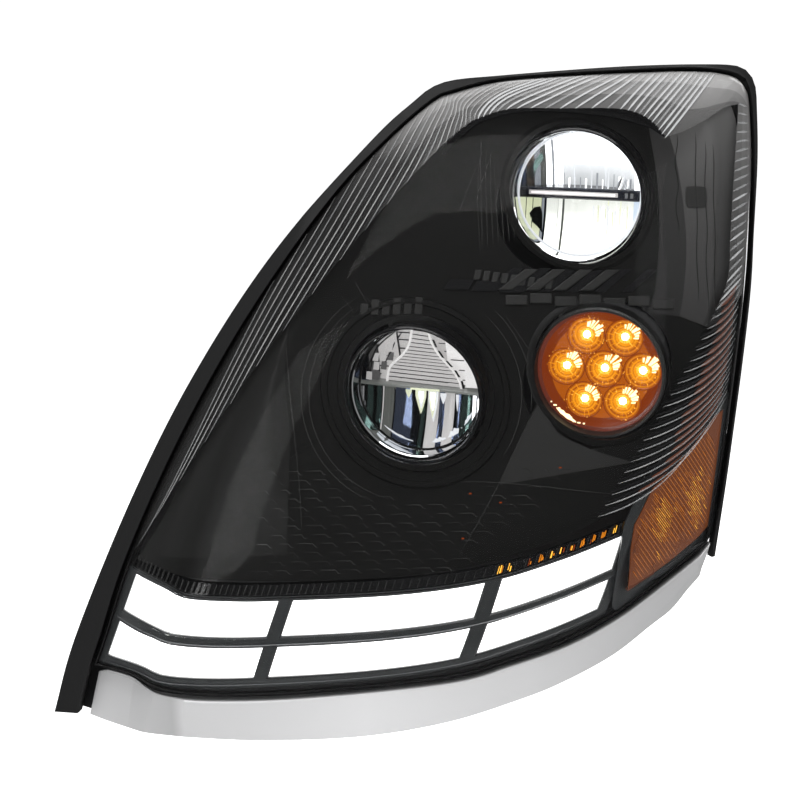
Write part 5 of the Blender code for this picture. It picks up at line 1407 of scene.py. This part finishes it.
def make_back_ribs():
    """Short gussets on the back wall of the housing, round each service cap."""
    ribs = Shape()
    for place in (LOW_BEAM, HIGH_BEAM):
        for k in range(GUSSETS):
            way = Vector((cos(tau * (k + 0.5) / GUSSETS), 0, sin(tau * (k + 0.5) / GUSSETS)))
            side = Vector((-way.z, 0, way.x))
            sections = []
            for out, tall in ((0, 0.3), (2, 4), (10, 3.2), (18, 1.4), (22, 0.3)):
                foot = place + way * (GUSSET_START + out)
                wall = wall_behind(foot.x, foot.z)
                if wall is not None:
                    foot.y = wall
                    sections.append([foot + side * across + Vector((0, lift, 0))
                                     for across, lift in ((-1.4, -1.5), (-1, tall), (1, tall), (1.4, -1.5))])
            if len(sections) > 2:
                ribs.loft(sections)
    ribs.piece("housing_ribs", HOUSING_BLACK, slot="black_plastic")


# ---------------------------------------------------------------- carried-over CAD parts
def finish_nodes():
    """Better materials on the CAD parts that stay."""
    by_slot = {
        "black_plastic": HOUSING_BLACK, "gloss_black": GLOSS_BLACK, "grey_plastic": FRAME_GREY,
        "lens_clear": CLEAR_LENS,
        "glass_clear": CLEAR_GLASS, "rubber": RUBBER, "silver_trim": SILVER, "chrome": CHROME,
        "white_diffuser": DRL_WHITE, "amber": AMBER, "circuit_board": CIRCUIT, "aluminium": ALUMINIUM,
        "zinc_steel": ZINC, "black_steel": BLACK_STEEL, "nylon": NYLON,
    }
    slots = {entry["node"]: entry["material_slot"] for entry in frame["record"]["subparts"]}
    for name, node in frame["nodes"].items():
        for slot in node.material_slots:
            slot.material = by_slot[slots[name]]


# ---------------------------------------------------------------- studio
def area_light(name, place, target, size, power, colour=(1, 1, 1)):
    data = bpy.data.lights.new(name, "AREA")
    data.shape = "RECTANGLE"
    data.size, data.size_y = size
    data.energy = power
    data.color = colour
    light = bpy.data.objects.new(name, data)
    light.location = place
    light.rotation_euler = (Vector(target) - Vector(place)).to_track_quat("-Z", "Y").to_euler()
    bpy.context.scene.collection.objects.link(light)


def make_studio():
    scene = bpy.context.scene
    scene.view_settings.view_transform = "Standard"
    scene.view_settings.look = "None"
    world = bpy.data.worlds.new("studio")
    world.use_nodes = True
    world.node_tree.nodes["Background"].inputs["Color"].default_value = (1, 1, 1, 1)
    world.node_tree.nodes["Background"].inputs["Strength"].default_value = 0.3
    scene.world = world
    bm = bmesh.new()
    bmesh.ops.create_grid(bm, x_segments=8, y_segments=8, size=200)
    mesh = bpy.data.meshes.new("floor")
    bm.to_mesh(mesh)
    bm.free()
    floor = bpy.data.objects.new("floor", mesh)
    floor.location = (0, 0, FLOOR_LEVEL)
    scene.collection.objects.link(floor)
    pale = glowing("pale_floor", (1, 1, 1), 0.85, (0.8, 0.8, 0.8), 0.9)
    mesh.materials.append(pale)
    floor.visible_glossy = False
    target = (0.1, -0.1, 0.1)
    area_light("overhead", (0.1, -0.9, 2.2), target, (2.4, 1.6), 62)
    area_light("front_left", (-0.9, -2.6, 0.7), target, (1.2, 2.0), 34)
    area_light("right", (2.4, -0.6, 1.2), target, (0.6, 1.6), 6)
    area_light("behind", (0.4, 2.4, 1.4), target, (2.0, 1.4), 22)


def make_camera():
    data = bpy.data.cameras.new("camera")
    data.lens, data.sensor_width = CAMERA_LENS, 36
    data.clip_end = 500
    camera = bpy.data.objects.new("camera", data)
    axes = Matrix((FACE_RIGHT, FACE_UP, FACE_OUT)).transposed().to_4x4()
    camera.matrix_world = Matrix.Translation((FACE_ORIGIN + FACE_OUT * CAMERA_DISTANCE) * MM) @ axes
    bpy.context.scene.collection.objects.link(camera)
    bpy.context.scene.camera = camera


make_camera()
make_studio()
finish_nodes()
make_lens()
make_border()
make_flutes()
make_gasket()
make_lower_trim()
make_bezel()
make_bezel_details()
make_drl()
make_side_reflector()
make_turn_signal()
make_low_beam()
make_high_beam()
service_cap("low_beam_cap")
service_cap("high_beam_cap")
make_back_ribs()
